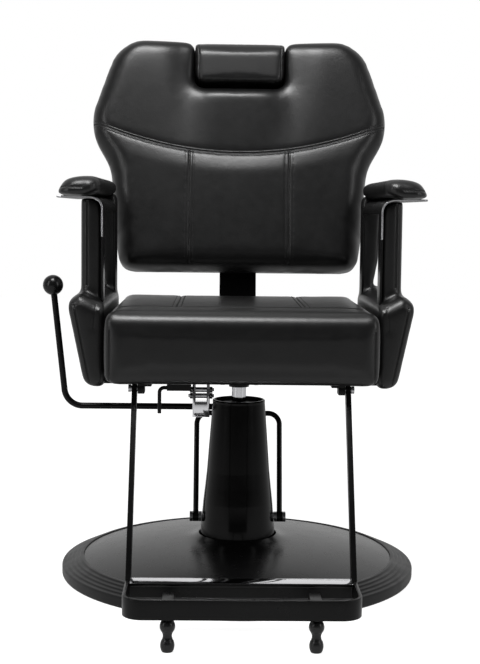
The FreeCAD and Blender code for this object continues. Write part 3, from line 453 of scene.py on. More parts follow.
def modified(mesh: Mesh, kind: str, **settings: object) -> Mesh:
    """Put a mesh through one modifier.

    Args:
        mesh: The mesh, freed here.
        kind: The modifier's type.
        settings: Its settings.

    Returns:
        The modified mesh.
    """
    piece = placed("scratch", mesh)
    modifier = piece.modifiers.new("scratch", kind)
    for name, value in settings.items():
        setattr(modifier, name, value)
    return baked(piece)


def even(mesh: Mesh, voxel: float) -> Mesh:
    """Remesh a closed form, or several that overlap, into one even skin of that spacing."""
    return modified(mesh, "REMESH", mode="VOXEL", voxel_size=voxel)


def eased(mesh: Mesh, rounds: int) -> Mesh:
    """Ease a skin's points towards their neighbours.

    Args:
        mesh: The skin.
        rounds: Number of passes.

    Returns:
        The same skin.
    """
    for _ in range(rounds):
        bmesh.ops.smooth_vert(mesh, verts=mesh.verts, factor=0.5, use_axis_x=True, use_axis_y=True,
                              use_axis_z=True)
    return mesh


def finer(mesh: Mesh) -> Mesh:
    """Divide a skin once by a subdivision surface."""
    return modified(mesh, "SUBSURF", levels=1, render_levels=1)


def level(_u: float, _v: float) -> float:
    """No height at any place."""
    return 0.0


@dataclass
class Pad:
    """A padded form: an outline filled between two levels, with soft rims and a crown."""

    corners: Sequence[Corner]
    low: float
    high: float
    rims: Sequence[float]
    foot_round: float
    voxel: float
    crown: float = 0.0
    puff: float = 0.004
    smooth: int = 3
    swell: Height = level
    sole: Height = level
    kept: Height = level
    bluff: float = 0.0
    rim_step: float = 0.002
    rim_blend: float = 0.003
    rim_share: float = 0.85
    least_reach: float = 0.001

    def rim_points(self) -> tuple[KDTree, list[float]]:
        """Points along the outline, to measure how far inside it a place lies.

        Returns:
            The search tree, and the rim's rounding at each point.
        """
        mesh = outline_mesh(self.corners)
        edges = [(edge.verts[0].co.copy(), edge.verts[1].co.copy()) for edge in mesh.edges]
        mesh.free()
        points = []
        for start, end in edges:
            count = max(1, round((end - start).length / self.rim_step))
            points += [start.lerp(end, step / count) for step in range(count)]
        return search_tree(points), [self.rim_at(point) for point in points]

    def rim_at(self, point: Vector) -> float:
        """The rim's rounding at a point of the outline, blended between the edges near it.

        Args:
            point: The point, in plan.

        Returns:
            The radius.
        """
        places = [Vector((u, v, 0.0)) for u, v, _ in self.corners]
        total = weight = 0.0
        for index, radius in enumerate(self.rims):
            start, end = places[index], places[(index + 1) % len(places)]
            share = min(1.0, max(0.0, intersect_point_line(point, start, end)[1]))
            closeness = 1.0 / ((point - start.lerp(end, share)).length + self.rim_blend) ** 3
            total += radius * closeness
            weight += closeness
        return total / weight

    def form(self) -> Mesh:
        """Make the form's even skin in its own axes, with height along Z.

        Returns:
            The skin.
        """
        mesh = outline_mesh(self.corners)
        for vert in mesh.verts:
            vert.co.z = self.low
        drawn_out(mesh, mesh.faces[:], Vector((0.0, 0.0, self.high - self.low)))
        bmesh.ops.recalc_face_normals(mesh, faces=mesh.faces)
        mesh = even(mesh, self.voxel)
        self.shape(mesh)
        return mesh

    def build(self) -> Mesh:
        """Make the finished form, blown up by its filling.

        Returns:
            The mesh.
        """
        mesh = eased(self.form(), self.smooth)
        if self.puff > 0.0:
            mesh = inflate(mesh, self.puff)
        return finer(mesh)

    def shape(self, mesh: Mesh) -> None:
        """Round the rims and raise the crown.

        Args:
            mesh: The even mesh of the plain slab.
        """
        tree, rims = self.rim_points()
        thick = self.high - self.low
        middle = (self.corners[0][1] + self.corners[-1][1]) / 2
        reach = max(tree.find((0.0, middle, 0.0))[2], self.least_reach)
        for vert in mesh.verts:
            u, v, h = vert.co
            _, index, inside = tree.find((u, v, 0.0))
            rim = rims[index]
            share = (h - self.low) / thick
            drop = self.quarter(inside, rim)
            drop += self.bluff * (max(0.0, 1.0 - inside / rim) - drop)
            drop *= 1.0 - self.kept(u, v)
            roof = self.high - min(rim, self.rim_share * thick) * drop
            roof += self.crown * min(1.0, inside / reach)
            roof += self.swell(u, v) * (1.0 - drop)
            floor = self.low + self.foot_round * self.quarter(inside, self.foot_round)
            floor += self.sole(u, v)
            vert.co.z = floor + (roof - floor) * share

    @staticmethod
    def quarter(inside: float, radius: float) -> float:
        """How far a rim of that radius has dropped at a distance inside it, from 1 to 0."""
        part = max(0.0, 1.0 - inside / radius)
        return 1.0 - math.sqrt(max(0.0, 1.0 - part * part))


def inflate(mesh: Mesh, limit: float) -> Mesh:
    """Blow the cover up a little by a cloth simulation.

    Args:
        mesh: The form, freed here.
        limit: The furthest that a point may move, in metres.

    Returns:
        The swollen form.
    """
    pressure, steps = 4.0, 12
    rest = [vert.co.copy() for vert in mesh.verts]
    piece = placed("scratch", mesh)
    cloth = piece.modifiers.new("cover", "CLOTH")
    cloth.settings.use_pressure = True
    cloth.settings.uniform_pressure_force = pressure
    cloth.settings.effector_weights.gravity = 0.0
    scene = bpy.context.scene
    for step in range(1, steps + 1):
        scene.frame_set(step)
    mesh = baked(piece)
    scene.frame_set(1)
    for vert, start in zip(mesh.verts, rest):
        move = vert.co - start
        if move.length > limit:
            vert.co = start + move * (limit / move.length)
    return mesh


def refine(mesh: Mesh, hits: Hits, reach: float) -> None:
    """Divide the faces beside a seam, so that its groove is drawn crisply.

    Args:
        mesh: The form.
        hits: Points of the seam.
        reach: How far from the seam the faces are divided.
    """
    tree = search_tree([place for place, _ in hits])
    near = [edge for edge in mesh.edges if tree.find((edge.verts[0].co + edge.verts[1].co) / 2)[2] < reach]
    bmesh.ops.subdivide_edges(mesh, edges=near, cuts=1, use_grid_fill=True)


def press_seam(mesh: Mesh, hits: Hits, width: float, depth: float) -> None:
    """Pull a groove into a form along a dropped line.

    Args:
        mesh: The form.
        hits: Points of the seam on its surface.
        width: Half width of the groove.
        depth: Depth of the groove.
    """
    tree = search_tree([place for place, _ in hits])
    faded = 3.0 * width
    for vert in mesh.verts:
        _, index, far = tree.find(vert.co)
        if far < faded:
            vert.co -= hits[index][1] * depth * math.exp(-((far / width) ** 2))


def sew(hits: Hits, mesh: Mesh) -> None:
    """Lay a row of stitches along dropped points.

    Args:
        hits: Closely spaced points of the row.
        mesh: The thread mesh that the stitches join.
    """
    pitch, thick, shortest, longest = 3, 0.00055, 1e-4, 0.02
    raised, drawn = thick * 0.4, 0.82
    for index in range(0, len(hits) - pitch, pitch):
        start, normal = hits[index]
        end = hits[index + pitch - 1][0]
        along = end - start
        if not shortest < along.length < longest:
            continue
        side = normal.cross(along).normalized()
        turn = Matrix((side, normal, along.normalized())).transposed().to_4x4()
        place = Matrix.Translation((start + end) / 2 + normal * raised)
        bmesh.ops.create_cone(mesh, cap_ends=True, segments=6, radius1=thick, radius2=thick,
                              depth=along.length * drawn, matrix=place @ turn)


def offset_line(line: Line, distance: float) -> Line:
    """Shift a line sideways in plan.

    Args:
        line: The line's points.
        distance: Shift to its left.

    Returns:
        The shifted line.
    """
    shifted = []
    for index, (x, y) in enumerate(line):
        before = line[max(0, index - 1)]
        after = line[min(len(line) - 1, index + 1)]
        dx, dy = after[0] - before[0], after[1] - before[1]
        length = math.hypot(dx, dy)
        shifted.append((x - dy / length * distance, y + dx / length * distance))
    return shifted


@dataclass
class Seam:
    """A sewn seam: a tight groove in a soft hollow, with rows of stitches beside it."""

    line: Line
    rows: tuple[float, ...] = (-0.008, 0.008)
    width: float = 0.0017
    depth: float = 0.0022
    hollow: float = 0.0022
    face: Face = Face.TOP
    hollow_width: float = 0.009
    row_width: float = 0.0011
    row_depth: float = 0.0010
    fine: tuple[float, ...] = (0.008, 0.0045)
    row_fine: float = 0.0035
    step: float = 0.002

    def drop(self, form: Mesh, row: float = 0.0) -> Hits:
        """Drop the seam's line, or a row beside it, onto its side of a form.

        Args:
            form: The form.
            row: The row's distance to the left of the line.

        Returns:
            Each point where it meets the form, with the form's normal there.
        """
        tree = BVHTree.FromBMesh(form)
        line = offset_line(self.line, row)
        hits = []
        for (ax, ay), (bx, by) in zip(line, line[1:]):
            count = max(1, round(math.hypot(bx - ax, by - ay) / self.step))
            for index in range(count):
                share = index / count
                start = self.face.start(ax + (bx - ax) * share, ay + (by - ay) * share)
                place, normal, _, _ = tree.ray_cast(start, Vector(self.face.value))
                if place is not None:
                    hits.append((place, normal))
        return hits

    def press(self, form: Mesh) -> None:
        """Press the seam and its stitch rows into a form.

        Args:
            form: The form.
        """
        hits = self.drop(form)
        press_seam(form, hits, self.hollow_width, self.hollow)
        for reach in self.fine:
            refine(form, hits, reach)
        press_seam(form, self.drop(form), self.width, self.depth)
        for row in self.rows:
            hits = self.drop(form, row)
            refine(form, hits, self.row_fine)
            press_seam(form, hits, self.row_width, self.row_depth)


@dataclass
class Upholstery:
    """One padded piece with its seams, placed on the chair."""

    name: str
    make: Callable[[], Mesh]
    body: Body
    stands_for: tuple[str, ...]
    space: Matrix
    seams: list[Seam]
    fill: float = 0.85

    def build(self, shop: Workshop, mirror: bool = False) -> None:
        """Make the cushion and its stitches.

        Args:
            shop: The workshop that finishes them.
            mirror: Whether to make it on the other side of the chair.
        """
        form = self.make()
        thread = bmesh.new()
        for seam in self.seams:
            seam.press(form)
        for seam in self.seams:
            for row in seam.rows:
                sew(seam.drop(form, row), thread)
        flip = MIRROR if mirror else Matrix.Identity(4)
        for mesh in (form, thread):
            bmesh.ops.transform(mesh, matrix=flip @ self.space, verts=mesh.verts)
        cushion = shop.finish(self.name, form, self.body, Slot.LEATHER, self.stands_for, sharp=180.0)
        if thread.verts:
            shop.finish(self.name + "_stitches", thread, self.body, Slot.LEATHER, special="thread")
        else:
            thread.free()


def joint(name: str) -> dict:
    """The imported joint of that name."""
    return next(item for item in frame["record"]["behaviour"]["joints"] if item["name"] == name)


def mirrored_corners(right: Sequence[Corner]) -> list[Corner]:
    """Close a right half outline, given from the bottom up, with its mirror image."""
    return list(right) + [(-u, v, radius) for u, v, radius in reversed(right)]


@dataclass
class Back:
    """The winged back cushion and the headrest."""

    shop: Workshop
    front: float = 0.095
    rear: float = 0.015
    bottom: float = 0.1225
    top: float = 0.6235
    seam_height: float = 0.369
    seam_curve: float = 0.69
    panel_seam: float = 0.105
    side_rim: float = 0.034
    shoulder_rim: float = 0.030
    notch_rim: float = 0.020
    foot_rim: float = 0.024
    middle_half: float = 0.074
    middle_lean: float = 0.028
    ridge_place: float = 0.112
    ridge_half: float = 0.036
    ridge_lean: float = 0.050
    waist_half: float = 0.24
    waist_swell: float = 0.007
    waist_fade: float = 0.035
    notch_gap: float = 0.002
    notch_depth: float = 0.1035
    headrest_half: float = 0.0955
    headrest_lift: float = 0.005
    headrest_height: float = 0.091
    headrest_roll: float = 0.036
    headrest_rear: float = 0.0303
    headrest_front: float = 0.0985
    roll_start: float = 0.024
    roll_blend: float = 0.014

    def space(self) -> Matrix:
        """From across, up the back and forward to the chair's frame.

        Returns:
            The transform.
        """
        pivot = Vector(joint("recline")["pos_m"])
        rise = Vector(joint("headrest_slide")["axis"])
        forward = Vector((0.0, -rise.z, rise.y))
        turn = Matrix((Vector((1.0, 0.0, 0.0)), rise, forward)).transposed().to_4x4()
        return Matrix.Translation(pivot) @ turn

    def outline(self) -> list[Corner]:
        """The cushion's winged outline with its headrest notch.

        Returns:
            Its corners.
        """
        notch = self.headrest_half + self.notch_gap
        foot, waist = (0.251, self.bottom, 0.030), (0.276, 0.346, 0.110)
        wing, shoulder = (0.3255, 0.432, 0.095), (0.261, self.top, 0.075)
        lip, hollow = (notch, self.top, 0.024), (notch, self.top - self.notch_depth, 0.022)
        return mirrored_corners([foot, waist, wing, shoulder, lip, hollow])

    def swell(self, u: float, v: float) -> float:
        """Ridges that lean back beside an upright middle, and a fuller small of the back.

        Args:
            u: Place across the back.
            v: Place up the back.

        Returns:
            How far the cover stands out.
        """
        above = v - self.seam_height - self.seam_curve * u * u
        if above > 0.0:
            middle = math.exp(-((u / self.middle_half) ** 4))
            ridge = math.exp(-(((abs(u) - self.ridge_place) / self.ridge_half) ** 2))
            return above * (self.middle_lean * middle - self.ridge_lean * ridge)
        fade = min(1.0, -above / self.waist_fade)
        return fade * self.waist_swell * math.exp(-((u / self.waist_half) ** 2))

    def seams(self) -> list[Seam]:
        """The curved seam across the back and the two seams that run down from it.

        Returns:
            The seams.
        """
        count, reach, gap, hem = 40, 0.309, 0.004, 0.012
        places = [reach * (2 * step / count - 1) for step in range(count + 1)]
        curve = [(u, self.seam_height + self.seam_curve * u * u) for u in places]
        seams = [Seam(curve, CLOSE_ROWS, hollow=0.0014)]
        for u in (-self.panel_seam, self.panel_seam):
            start = self.seam_height + self.seam_curve * u * u
            seams.append(Seam([(u, start - gap), (u, self.bottom + hem)], hollow=0.0005))
        return seams

    def build(self) -> None:
        """Make the back's soft pieces."""
        space = self.space()
        side, notch, shoulder = [self.side_rim] * 3, [self.notch_rim] * 3, [self.shoulder_rim]
        rims = side + shoulder + notch + shoulder + side + [self.foot_rim]
        cushion = Pad(self.outline(), self.rear, self.front, rims, foot_round=0.006, voxel=0.0072,
                      crown=0.004, swell=self.swell)
        Upholstery("back_leather", cushion.build, Body.BACK, ("back_cushion",), space,
                   self.seams()).build(self.shop)
        low = self.top - self.notch_depth + self.headrest_lift
        high = low + self.headrest_height
        half = self.headrest_half

        def rolled(_: float, v: float) -> float:
            """How far the front rolls back towards the top."""
            return -self.headrest_roll * Pad.quarter(high - v, self.headrest_roll)

        def kept(_: float, v: float) -> float:
            """Share of the height that the rim keeps, all of it where the roll takes over."""
            return min(1.0, max(0.0, (v - high + self.roll_start) / self.roll_blend))

        taper, hem, seam = 0.002, 0.004, half - 0.008
        roll = Pad(mirrored_corners([(half - taper, low, 0.017), (half, high, 0.010)]), self.headrest_rear,
                   self.headrest_front, rims=[0.011, 0.011, 0.011, 0.006], foot_round=0.008, voxel=0.0036,
                   crown=0.004, puff=0.0008, swell=rolled, kept=kept)
        ends = [Seam([(u, low + hem), (u, high - hem)], rows=(), hollow=0.001) for u in (-seam, seam)]
        Upholstery("headrest_leather", roll.build, Body.HEADREST, ("headrest_cushion",), space,
                   ends).build(self.shop)


@dataclass
class Seat:
    """The seat cushion with its skirt."""

    shop: Workshop
    half: float = 0.240
    front: float = 0.285
    rear: float = 0.215
    crown: float = 0.006
    seam_across: float = -0.150
    seam_along: float = 0.118
    corner_seam: float = 0.009
    side_rim: float = 0.016
    front_rim: float = 0.028

    def build(self) -> None:
        """Make the seat cushion."""
        low, high = (corner.z for corner in map(Vector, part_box("seat_cushion")))
        corners = mirrored_corners([(self.half, -self.front, 0.017), (self.half, self.rear, 0.014)])
        rims = [self.side_rim] * 3 + [self.front_rim]
        pad = Pad(corners, low, high - self.crown, rims, foot_round=0.009, voxel=0.0072, crown=self.crown,
                  puff=0.0012, smooth=2)
        edge, gap, hem = 0.010, 0.004, 0.030
        ends = (-self.half + edge, self.half - edge)
        seams = [Seam([(u, self.seam_across) for u in ends], CLOSE_ROWS)]
        for side in (-1, 1):
            along = side * self.seam_along
            seams.append(Seam([(along, self.seam_across + gap), (along, self.rear - edge)], hollow=0.001))
            corner = side * (self.half - self.corner_seam)
            seams.append(Seam([(corner, low + gap), (corner, high - hem)], rows=(), hollow=0.0008,
                              face=Face.FRONT))
        Upholstery("seat_leather", pad.build, Body.CARRIER, ("seat_cushion",), Matrix.Identity(4),
                   seams).build(self.shop)


@dataclass
class Arm:
    """One arm: its pad, and the side panel with its two covered posts."""

    shop: Workshop
    side: str
    bend: float = 0.0197
    rear_foot: float = 0.014
    outer_rim: float = 0.018
    taper: float = 0.030
    seam_inset: float = 0.010

    def build(self) -> None:
        """Make the arm's soft pieces from the right-hand nodes' places."""
        self.pad()
        self.panel()

    def pad(self) -> None:
        """The pad under the forearm, high on the sitter's side and thin at its outer edge."""
        low, high = map(Vector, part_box("arm_pad_right"))
        edge, crest, inner_fall, line = 0.011, 0.30, 0.06, 0.0145
        lip, lip_reach, lip_curve = 0.008, 0.42, 1.3
        front_kept, side_kept, kept_reach = 0.46, 0.44, 0.40
        rise = high.z - low.z - edge

        def across(u: float) -> float:
            """Share of the way from the sitter's side to the outer edge."""
            return min(1.0, max(0.0, (u - low.x) / (high.x - low.x)))

        def swell(u: float, _: float) -> float:
            """How far the pad's back stands above its outer edge.

            Args:
                u: Place across the pad.

            Returns:
                The height.
            """
            share = across(u)
            if share > crest:
                return rise * math.sqrt(1.0 - ((share - crest) / (1.0 - crest)) ** 2)
            return rise * (1.0 - inner_fall * (1.0 - share / crest) ** 2)

        def sole(u: float, _: float) -> float:
            """How far the underside curls up on the sitter's side."""
            return lip * max(0.0, 1.0 - across(u) / lip_reach) ** lip_curve

        def kept(u: float, _: float) -> float:
            """Share of the height that the rim keeps: most on the sitter's side, less in front."""
            return front_kept + side_kept * max(0.0, 1.0 - across(u) / kept_reach)

        corners = [(low.x, low.y, 0.030), (high.x, low.y, 0.032), (high.x, high.y, 0.026),
                   (low.x, high.y, 0.024)]
        form = Pad(corners, low.z, low.z + edge, rims=[0.019, 0.013, 0.020, 0.013], foot_round=0.005,
                   voxel=0.0036, puff=0.0015, smooth=6, swell=swell, sole=sole, kept=kept, bluff=0.7)
        ends = (low.x + 0.034, high.x - 0.004)
        piping = Seam([(u, low.z + line) for u in ends], rows=(), hollow=0.0010, face=Face.FRONT)
        Upholstery("arm_pad_leather_" + self.side, form.build, Body.CARRIER, ("arm_pad_" + self.side,),
                   Matrix.Identity(4), [piping]).build(self.shop, self.side == "left")

    def post(self, place: str) -> Pad:
        """A covered post, drawn from the front, that runs up into the bracket's bend.

        Args:
            place: Front or rear.

        Returns:
            Its form.
        """
        low, high = map(Vector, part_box("arm_post_%s_right" % place))
        sunk, full, square, wrap = 0.030, 0.0025, 0.002, 0.0062
        foot, outer, inner = low.z - sunk, high.x + full, low.x - wrap
        if place == "front":
            corners = [(low.x, foot, square), (outer, foot, square), (outer, high.z, 0.004),
                       (low.x, high.z, self.bend)]
            return Pad(corners, -high.y, -low.y, rims=[0.003, self.outer_rim, 0.004, 0.003],
                       foot_round=0.006, voxel=0.0045)
        corners = [(inner, foot, square), (low.x + self.rear_foot, foot, square),
                   (high.x - 0.005, low.z + 0.052, 0.030), (high.x, high.z, 0.004),
                   (low.x + 0.014, high.z + 0.009, 0.004), (low.x + 0.001, high.z + 0.016, 0.006),
                   (inner, high.z + 0.004, 0.010)]
        rims = [0.003, 0.008, 0.008, 0.004, 0.004, 0.006, 0.008]
        return Pad(corners, -high.y - full, full - low.y, rims, foot_round=0.006, voxel=0.004)

    def bolster(self) -> Pad:
        """The side panel, drawn from the front, wide at the shoulder and narrower at the foot.

        Returns:
            Its form.
        """
        low, high = map(Vector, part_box("side_bolster_right"))
        post = Vector(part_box("arm_post_front_right")[1]).x
        corners = [(low.x, low.z, 0.006), (high.x - self.taper, low.z, 0.022),
                   (high.x + 0.002, high.z - 0.016, 0.018), (post, high.z + 0.001, 0.010),
                   (low.x, high.z - 0.021, 0.008)]
        rims = [0.012, 0.016, 0.024, 0.026, 0.010]
        return Pad(corners, -high.y, -low.y, rims, foot_round=0.014, voxel=0.005, crown=0.003)

    def cover(self) -> Mesh:
        """One skin over the panel and its posts.

        Returns:
            The skin.
        """
        joined = bmesh.new()
        for pad in (self.bolster(), self.post("front"), self.post("rear")):
            data = bpy.data.meshes.new("joined")
            form = pad.form()
            form.to_mesh(data)
            form.free()
            joined.from_mesh(data)
            bpy.data.meshes.remove(data)
        return finer(eased(even(joined, voxel=0.0045), rounds=4))

    def panel(self) -> None:
        """The side panel and both posts under one cover."""
        low, high = map(Vector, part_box("side_bolster_right"))
        post_low, post_high = map(Vector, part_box("arm_post_front_right"))
        inset, hem = self.seam_inset, 0.020
        edge = post_high.x - inset
        post = [(edge, post_low.z + 0.012), (edge, post_high.z - 0.004)]
        outer = [(high.x - self.taper - inset, low.z + 0.010), (high.x - inset * 1.2, high.z - hem)]
        inner = [(low.x + 0.019, low.z + 0.108), (low.x + 0.015, high.z - hem)]
        seams = [Seam(post, rows=(), hollow=0.0006), Seam(outer, rows=(), hollow=0.0008),
                 Seam(inner, rows=(), hollow=0.0006, depth=0.0005)]
        nodes = tuple(piece + self.side for piece in ("side_bolster_", "arm_post_front_", "arm_post_rear_"))
        Upholstery("arm_side_leather_" + self.side, self.cover, Body.CARRIER, nodes, UPRIGHT,
                   seams).build(self.shop, self.side == "left")


def lathe(profile: Sequence[Pair], rounding: float) -> Mesh:
    """Turn a closed half outline about Z.

    Args:
        profile: Radius and height of each corner, in order.
        rounding: Width of the rounded corners.

    Returns:
        The turned mesh.
    """
    steps = 128
    mesh = bmesh.new()
    verts = [mesh.verts.new((radius, 0.0, height)) for radius, height in profile]
    for start, end in zip(verts, verts[1:] + verts[:1]):
        mesh.edges.new((start, end))
    if rounding > 0.0:
        rounded(mesh, mesh.verts[:], rounding, 4, "VERTICES", clamp=True)
    bmesh.ops.spin(mesh, geom=mesh.verts[:] + mesh.edges[:], cent=(0, 0, 0), axis=(0, 0, 1),
                   angle=2 * math.pi, steps=steps, use_merge=True)
    bmesh.ops.remove_doubles(mesh, verts=mesh.verts, dist=WELD)
    return mesh


@dataclass
class Base:
    """The round base with its stepped rim, and the column on it."""

    shop: Workshop
    wall: float = 0.003
    column_wall: float = 0.0032
    grooves: int = 5

    def build(self) -> None:
        """Make the base's turned pieces."""
        self.dome()
        self.rim()
        self.column()

    def dome(self) -> None:
        """The low dome, a little convex, that flares up to the column."""
        low, high = map(Vector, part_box("base_dome"))
        edge, foot, top = high.x, low.z, high.z
        neck, rim_height, count = 0.076, 0.034, 24
        rise, curve, shoulder, run, lean = 0.033, 2.4, 0.0658, 0.010, 0.2
        outer = []
        for step in range(count + 1):
            radius = edge + (neck - edge) * step / count
            swept = rise * (1.0 - (radius / edge) ** curve)
            flare = (top - shoulder) * math.exp((neck - radius) / run)
            outer.append((radius, rim_height + swept + flare))
        inner = [(radius - self.wall * lean, height - self.wall) for radius, height in reversed(outer)]
        inner[-1] = (edge - self.wall, rim_height - self.wall)
        profile = [(edge, foot)] + outer + inner + [(edge - self.wall, foot)]
        self.shop.finish("base_dome_shell", lathe(profile, 0.0), Body.BASE, Slot.GLOSS, ("base_dome",))

    def rim(self) -> None:
        """The moulded rim that steps down to the floor."""
        high = Vector(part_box("base_rim")[1])
        outer, height = high.x, high.z
        width, land, slope, riser, fall = 0.042, 0.0069, 0.0006, 0.0014, 0.0036
        radius = outer - width
        profile = [(radius, 0.0), (outer - 0.002, 0.0), (outer, 0.003)]
        steps = []
        for _ in range(self.grooves):
            steps += [(radius, height), (radius + land, height - slope)]
            radius += land + riser
            height -= fall
        self.shop.finish("base_rim_moulding", lathe(profile + [(outer, height)] + steps[::-1], 0.0012),
                         Body.BASE, Slot.RIM, ("base_rim",))

    def column(self) -> None:
        """The tapered column cover, fuller in its lower half, with a rolled top edge."""
        low, high = map(Vector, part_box("column_cover"))
        foot, top = low.z, high.z
        outer = [(0.0755, foot), (0.0715, 0.090), (0.0676, 0.137), (0.0640, 0.168), (0.0609, 0.198),
                 (0.0571, 0.250), (0.0508, top - 0.006), (0.0511, top - 0.002), (0.0496, top)]
        inner = [(radius - self.column_wall, height) for radius, height in reversed(outer)]
        self.shop.finish("column_shell", lathe(outer + inner, 0.0008), Body.TURRET, Slot.GLOSS,
                         ("column_cover",), special="column")


@dataclass
class Hardware:
    """Hard pieces whose edges are rounded, with the fasteners on them."""

    shop: Workshop

    def build(self) -> None:
        """Make the hard pieces."""
        for node, edge in (("footrest_frame", 0.0015), ("footrest_tread", 0.0015), ("foot_lugs", 0.001),
                           ("footrest_strut_left", 0.0012), ("footrest_strut_right", 0.0012)):
            self.shop.rounded_copy(node, Body.FOOTREST, edge)
        for side in SIDES:
            self.shop.rounded_copy("arm_bracket_" + side, Body.CARRIER, 0.0014)
            self.shop.rounded_copy("back_hinge_bracket_" + side, Body.CARRIER, 0.0015)
        self.shop.rounded_copy("footrest_hangers", Body.CARRIER, 0.001)
        self.shop.rounded_copy("back_post", Body.BACK, 0.0012, 2)
        self.shop.rounded_copy("lever_clamp", Body.BAIL, 0.0012, 2, Slot.CHROME)
        self.tread_strip()
        self.clamp_nuts()
        for side in SIDES:
            self.flange_highlight_bead(side)

    def flange_highlight_bead(self, side: str) -> None:
        """A bright steel bead along the front of an arm's bent plate, a painted highlight for the light that
        the plate's edge catches from above.

        Args:
            side: Left or right.
        """
        low, high = map(Vector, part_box("arm_bracket_right"))
        plate, bend, thick, leg, inset, sunk = 0.004, 0.024, 0.0018, 0.050, 0.001, 0.0008
        mesh = bmesh.new()
        turn = Matrix.Rotation(math.pi / 2, 4, "Y")
        start = Matrix.Translation((high.x - inset, low.y + sunk, high.z - plate / 2))
        bmesh.ops.create_circle(mesh, cap_ends=True, segments=10, radius=thick, matrix=start @ turn)
        centre = Vector((low.x + bend, low.y, high.z - bend))
        end = drawn_out(mesh, mesh.faces[:], Vector((centre.x - high.x + inset, 0, 0)))
        bent = bmesh.ops.spin(mesh, geom=end + list(end[0].edges) + list(end[0].verts), cent=centre,
                              axis=(0, -1, 0), angle=math.pi / 2, steps=10)
        end = [item for item in bent["geom_last"] if isinstance(item, bmesh.types.BMFace)]
        drawn_out(mesh, end, Vector((0, 0, -leg)))
        if side == "left":
            bmesh.ops.transform(mesh, matrix=MIRROR, verts=mesh.verts)
        # The bead's bright steel is a painted highlight along the plate's front edge.
        self.shop.finish("arm_flange_bead_" + side, mesh, Body.CARRIER, Slot.STEEL)

    def tread_strip(self) -> None:
        """The bright strip laid on the tread, with a short lip in front of it."""
        low, high = map(Vector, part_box("footrest_tread"))
        margin, thick, lip, sunk, chamfer = 0.002, 0.0016, 0.006, 0.0006, 0.0005
        left, right, near, far = low.x + margin, high.x - margin, low.y - lip, high.y - 0.001
        mesh = outline_mesh([(left, near, 0.003), (right, near, 0.003), (right, far, 0.004),
                             (left, far, 0.004)], 3)
        bmesh.ops.translate(mesh, vec=(0.0, 0.0, high.z - sunk), verts=mesh.verts)
        top = drawn_out(mesh, mesh.faces[:], Vector((0.0, 0.0, thick)))
        rounded(mesh, list(top[0].edges), chamfer, 2)
        self.shop.finish("tread_strip", mesh, Body.FOOTREST, Slot.CHROME)

    def clamp_nuts(self) -> None:
        """Hexagon nuts with stud ends on both sides of the lever clamp."""
        clamp_low, clamp_high = map(Vector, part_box("lever_clamp"))
        bolt_low, bolt_high = map(Vector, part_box("clamp_bolts"))
        across, thick, stud, end, head, sunk = 0.0066, 0.006, 0.0034, 0.003, 0.0015, 0.0004
        sharp, chamfer = math.radians(50), 0.0007
        mesh = bmesh.new()
        turn = Matrix.Rotation(math.pi / 2, 4, "Y")
        y = (bolt_low.y + bolt_high.y) / 2
        for x, way in ((clamp_low.x, -1.0), (clamp_high.x, 1.0)):
            for z in (bolt_low.z + stud + head, bolt_high.z - stud - head):
                for sides, radius, reach in ((6, across, thick), (14, stud, thick + end)):
                    place = Matrix.Translation((x + way * (reach / 2 - sunk), y, z))
                    bmesh.ops.create_cone(mesh, cap_ends=True, segments=sides, radius1=radius,
                                          radius2=radius, depth=reach, matrix=place @ turn)
        corners = [edge for edge in mesh.edges if edge.calc_face_angle(0.0) > sharp]
        rounded(mesh, corners, chamfer, 2)
        self.shop.finish("clamp_nuts", mesh, Body.BAIL, Slot.CHROME)


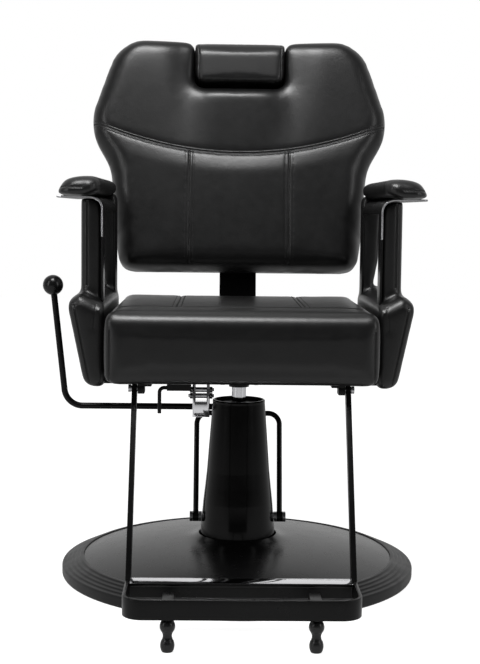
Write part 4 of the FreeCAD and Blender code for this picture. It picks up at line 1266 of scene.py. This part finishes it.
@dataclass
class Studio:
    """Floor, light and camera."""

    focal_px: float = 1333.2
    frame_height_px: float = 664.0
    distance: float = 2.572
    height: float = 0.700
    offset: float = -0.0478
    tilt: float = 5.154
    yaw: float = 1.08
    roll: float = 0.65

    def build(self) -> None:
        """Set up the camera, the floor and the light."""
        scene = bpy.context.scene
        scene.view_settings.view_transform = "Standard"
        data = bpy.data.cameras.new("camera")
        data.sensor_width = 36.0
        data.lens = self.focal_px / self.frame_height_px * data.sensor_width
        camera = bpy.data.objects.new("camera", data)
        camera.location = (self.offset, -self.distance, self.height)
        aim = Euler((math.radians(90.0 - self.tilt), 0.0, math.radians(-self.yaw))).to_matrix()
        camera.rotation_euler = (aim @ Matrix.Rotation(math.radians(self.roll), 3, "Z")).to_euler()
        scene.collection.objects.link(camera)
        scene.camera = camera
        self.floor()
        self.world()
        self.lamp("top softbox", (-0.3, -1.0, 3.0), (0.0, 0.0, 0.7), (1.2, 0.9), 83.0)
        self.lamp("left strip", (-2.4, -1.6, 1.5), (0.0, 0.0, 0.6), (0.5, 2.2), 18.0)
        self.lamp("right strip", (2.4, -1.6, 1.5), (0.0, 0.0, 0.6), (0.5, 2.2), 16.0)

    def floor(self) -> None:
        """A pale floor."""
        half, gap, grey = 8.0, 0.0004, 0.34
        mesh = bmesh.new()
        bmesh.ops.create_grid(mesh, x_segments=1, y_segments=1, size=half)
        floor = placed("floor", mesh)
        floor.location.z = -gap
        graph = Graph("pale floor")
        graph.shader.inputs["Base Color"].default_value = (grey, grey, grey, 1.0)
        graph.shader.inputs["Roughness"].default_value = 0.9
        graph.shader.inputs["Emission Color"].default_value = (1.0, 1.0, 1.0, 1.0)
        # It glows for the camera, and less for what the pieces mirror of it.
        rays = graph.add("ShaderNodeLightPath")
        glow = None
        for kind, strength in (("Is Camera Ray", 0.9), ("Is Glossy Ray", 0.3), ("Is Transmission Ray", 0.9)):
            share = graph.add("ShaderNodeMath", operation="MULTIPLY_ADD")
            share.inputs[1].default_value = strength
            share.inputs[2].default_value = 0.0
            graph.link(rays.outputs[kind], share.inputs[0])
            if glow is not None:
                graph.link(glow, share.inputs[2])
            glow = share.outputs["Value"]
        graph.link(glow, graph.shader.inputs["Emission Strength"])
        floor.data.materials.append(graph.material)

    def world(self) -> None:
        """White behind the object, and a dim room in front of it."""
        world = bpy.data.worlds.new("studio")
        world.use_nodes = True
        bpy.context.scene.world = world
        tree = world.node_tree
        back = tree.nodes["Background"]
        kinds = ("TexCoord", "SeparateXYZ", "MapRange", "LightPath", "Mix")
        place, split, room, rays, pick = (tree.nodes.new("ShaderNode" + kind) for kind in kinds)
        for name, value in (("From Min", -0.4), ("From Max", 0.7), ("To Min", 0.04), ("To Max", 0.80)):
            room.inputs[name].default_value = value
        pick.inputs["B"].default_value = 1.0
        for start, output, end, socket in (
                (place, "Generated", split, "Vector"), (split, "Y", room, "Value"),
                (rays, "Is Camera Ray", pick, "Factor"), (room, "Result", pick, "A"),
                (pick, "Result", back, "Strength")):
            tree.links.new(start.outputs[output], end.inputs[socket])
        back.inputs["Color"].default_value = (1.0, 1.0, 1.0, 1.0)

    @staticmethod
    def lamp(name: str, place: Place, aim: Place, size: Pair, power: float) -> None:
        """Hang one softbox.

        Args:
            name: The lamp's name.
            place: Where it hangs.
            aim: What it points at.
            size: Its width and height.
            power: Its power in watts.
        """
        data = bpy.data.lights.new(name, "AREA")
        data.shape = "RECTANGLE"
        data.size, data.size_y = size
        data.energy = power
        lamp = bpy.data.objects.new(name, data)
        lamp.location = place
        direction = Vector(aim) - Vector(place)
        lamp.rotation_euler = direction.to_track_quat("-Z", "Y").to_euler()
        bpy.context.scene.collection.objects.link(lamp)


def main() -> None:
    """Build the chair's pieces in order, then the studio."""
    logging.basicConfig(level=logging.INFO, format="%(name)s %(message)s")
    shop = Workshop()
    Studio().build()
    arms = [Arm(shop, side) for side in SIDES]
    for assembly in (Base(shop), Seat(shop), Back(shop), *arms, Hardware(shop)):
        assembly.build()


if __name__ == "__main__":
    main()
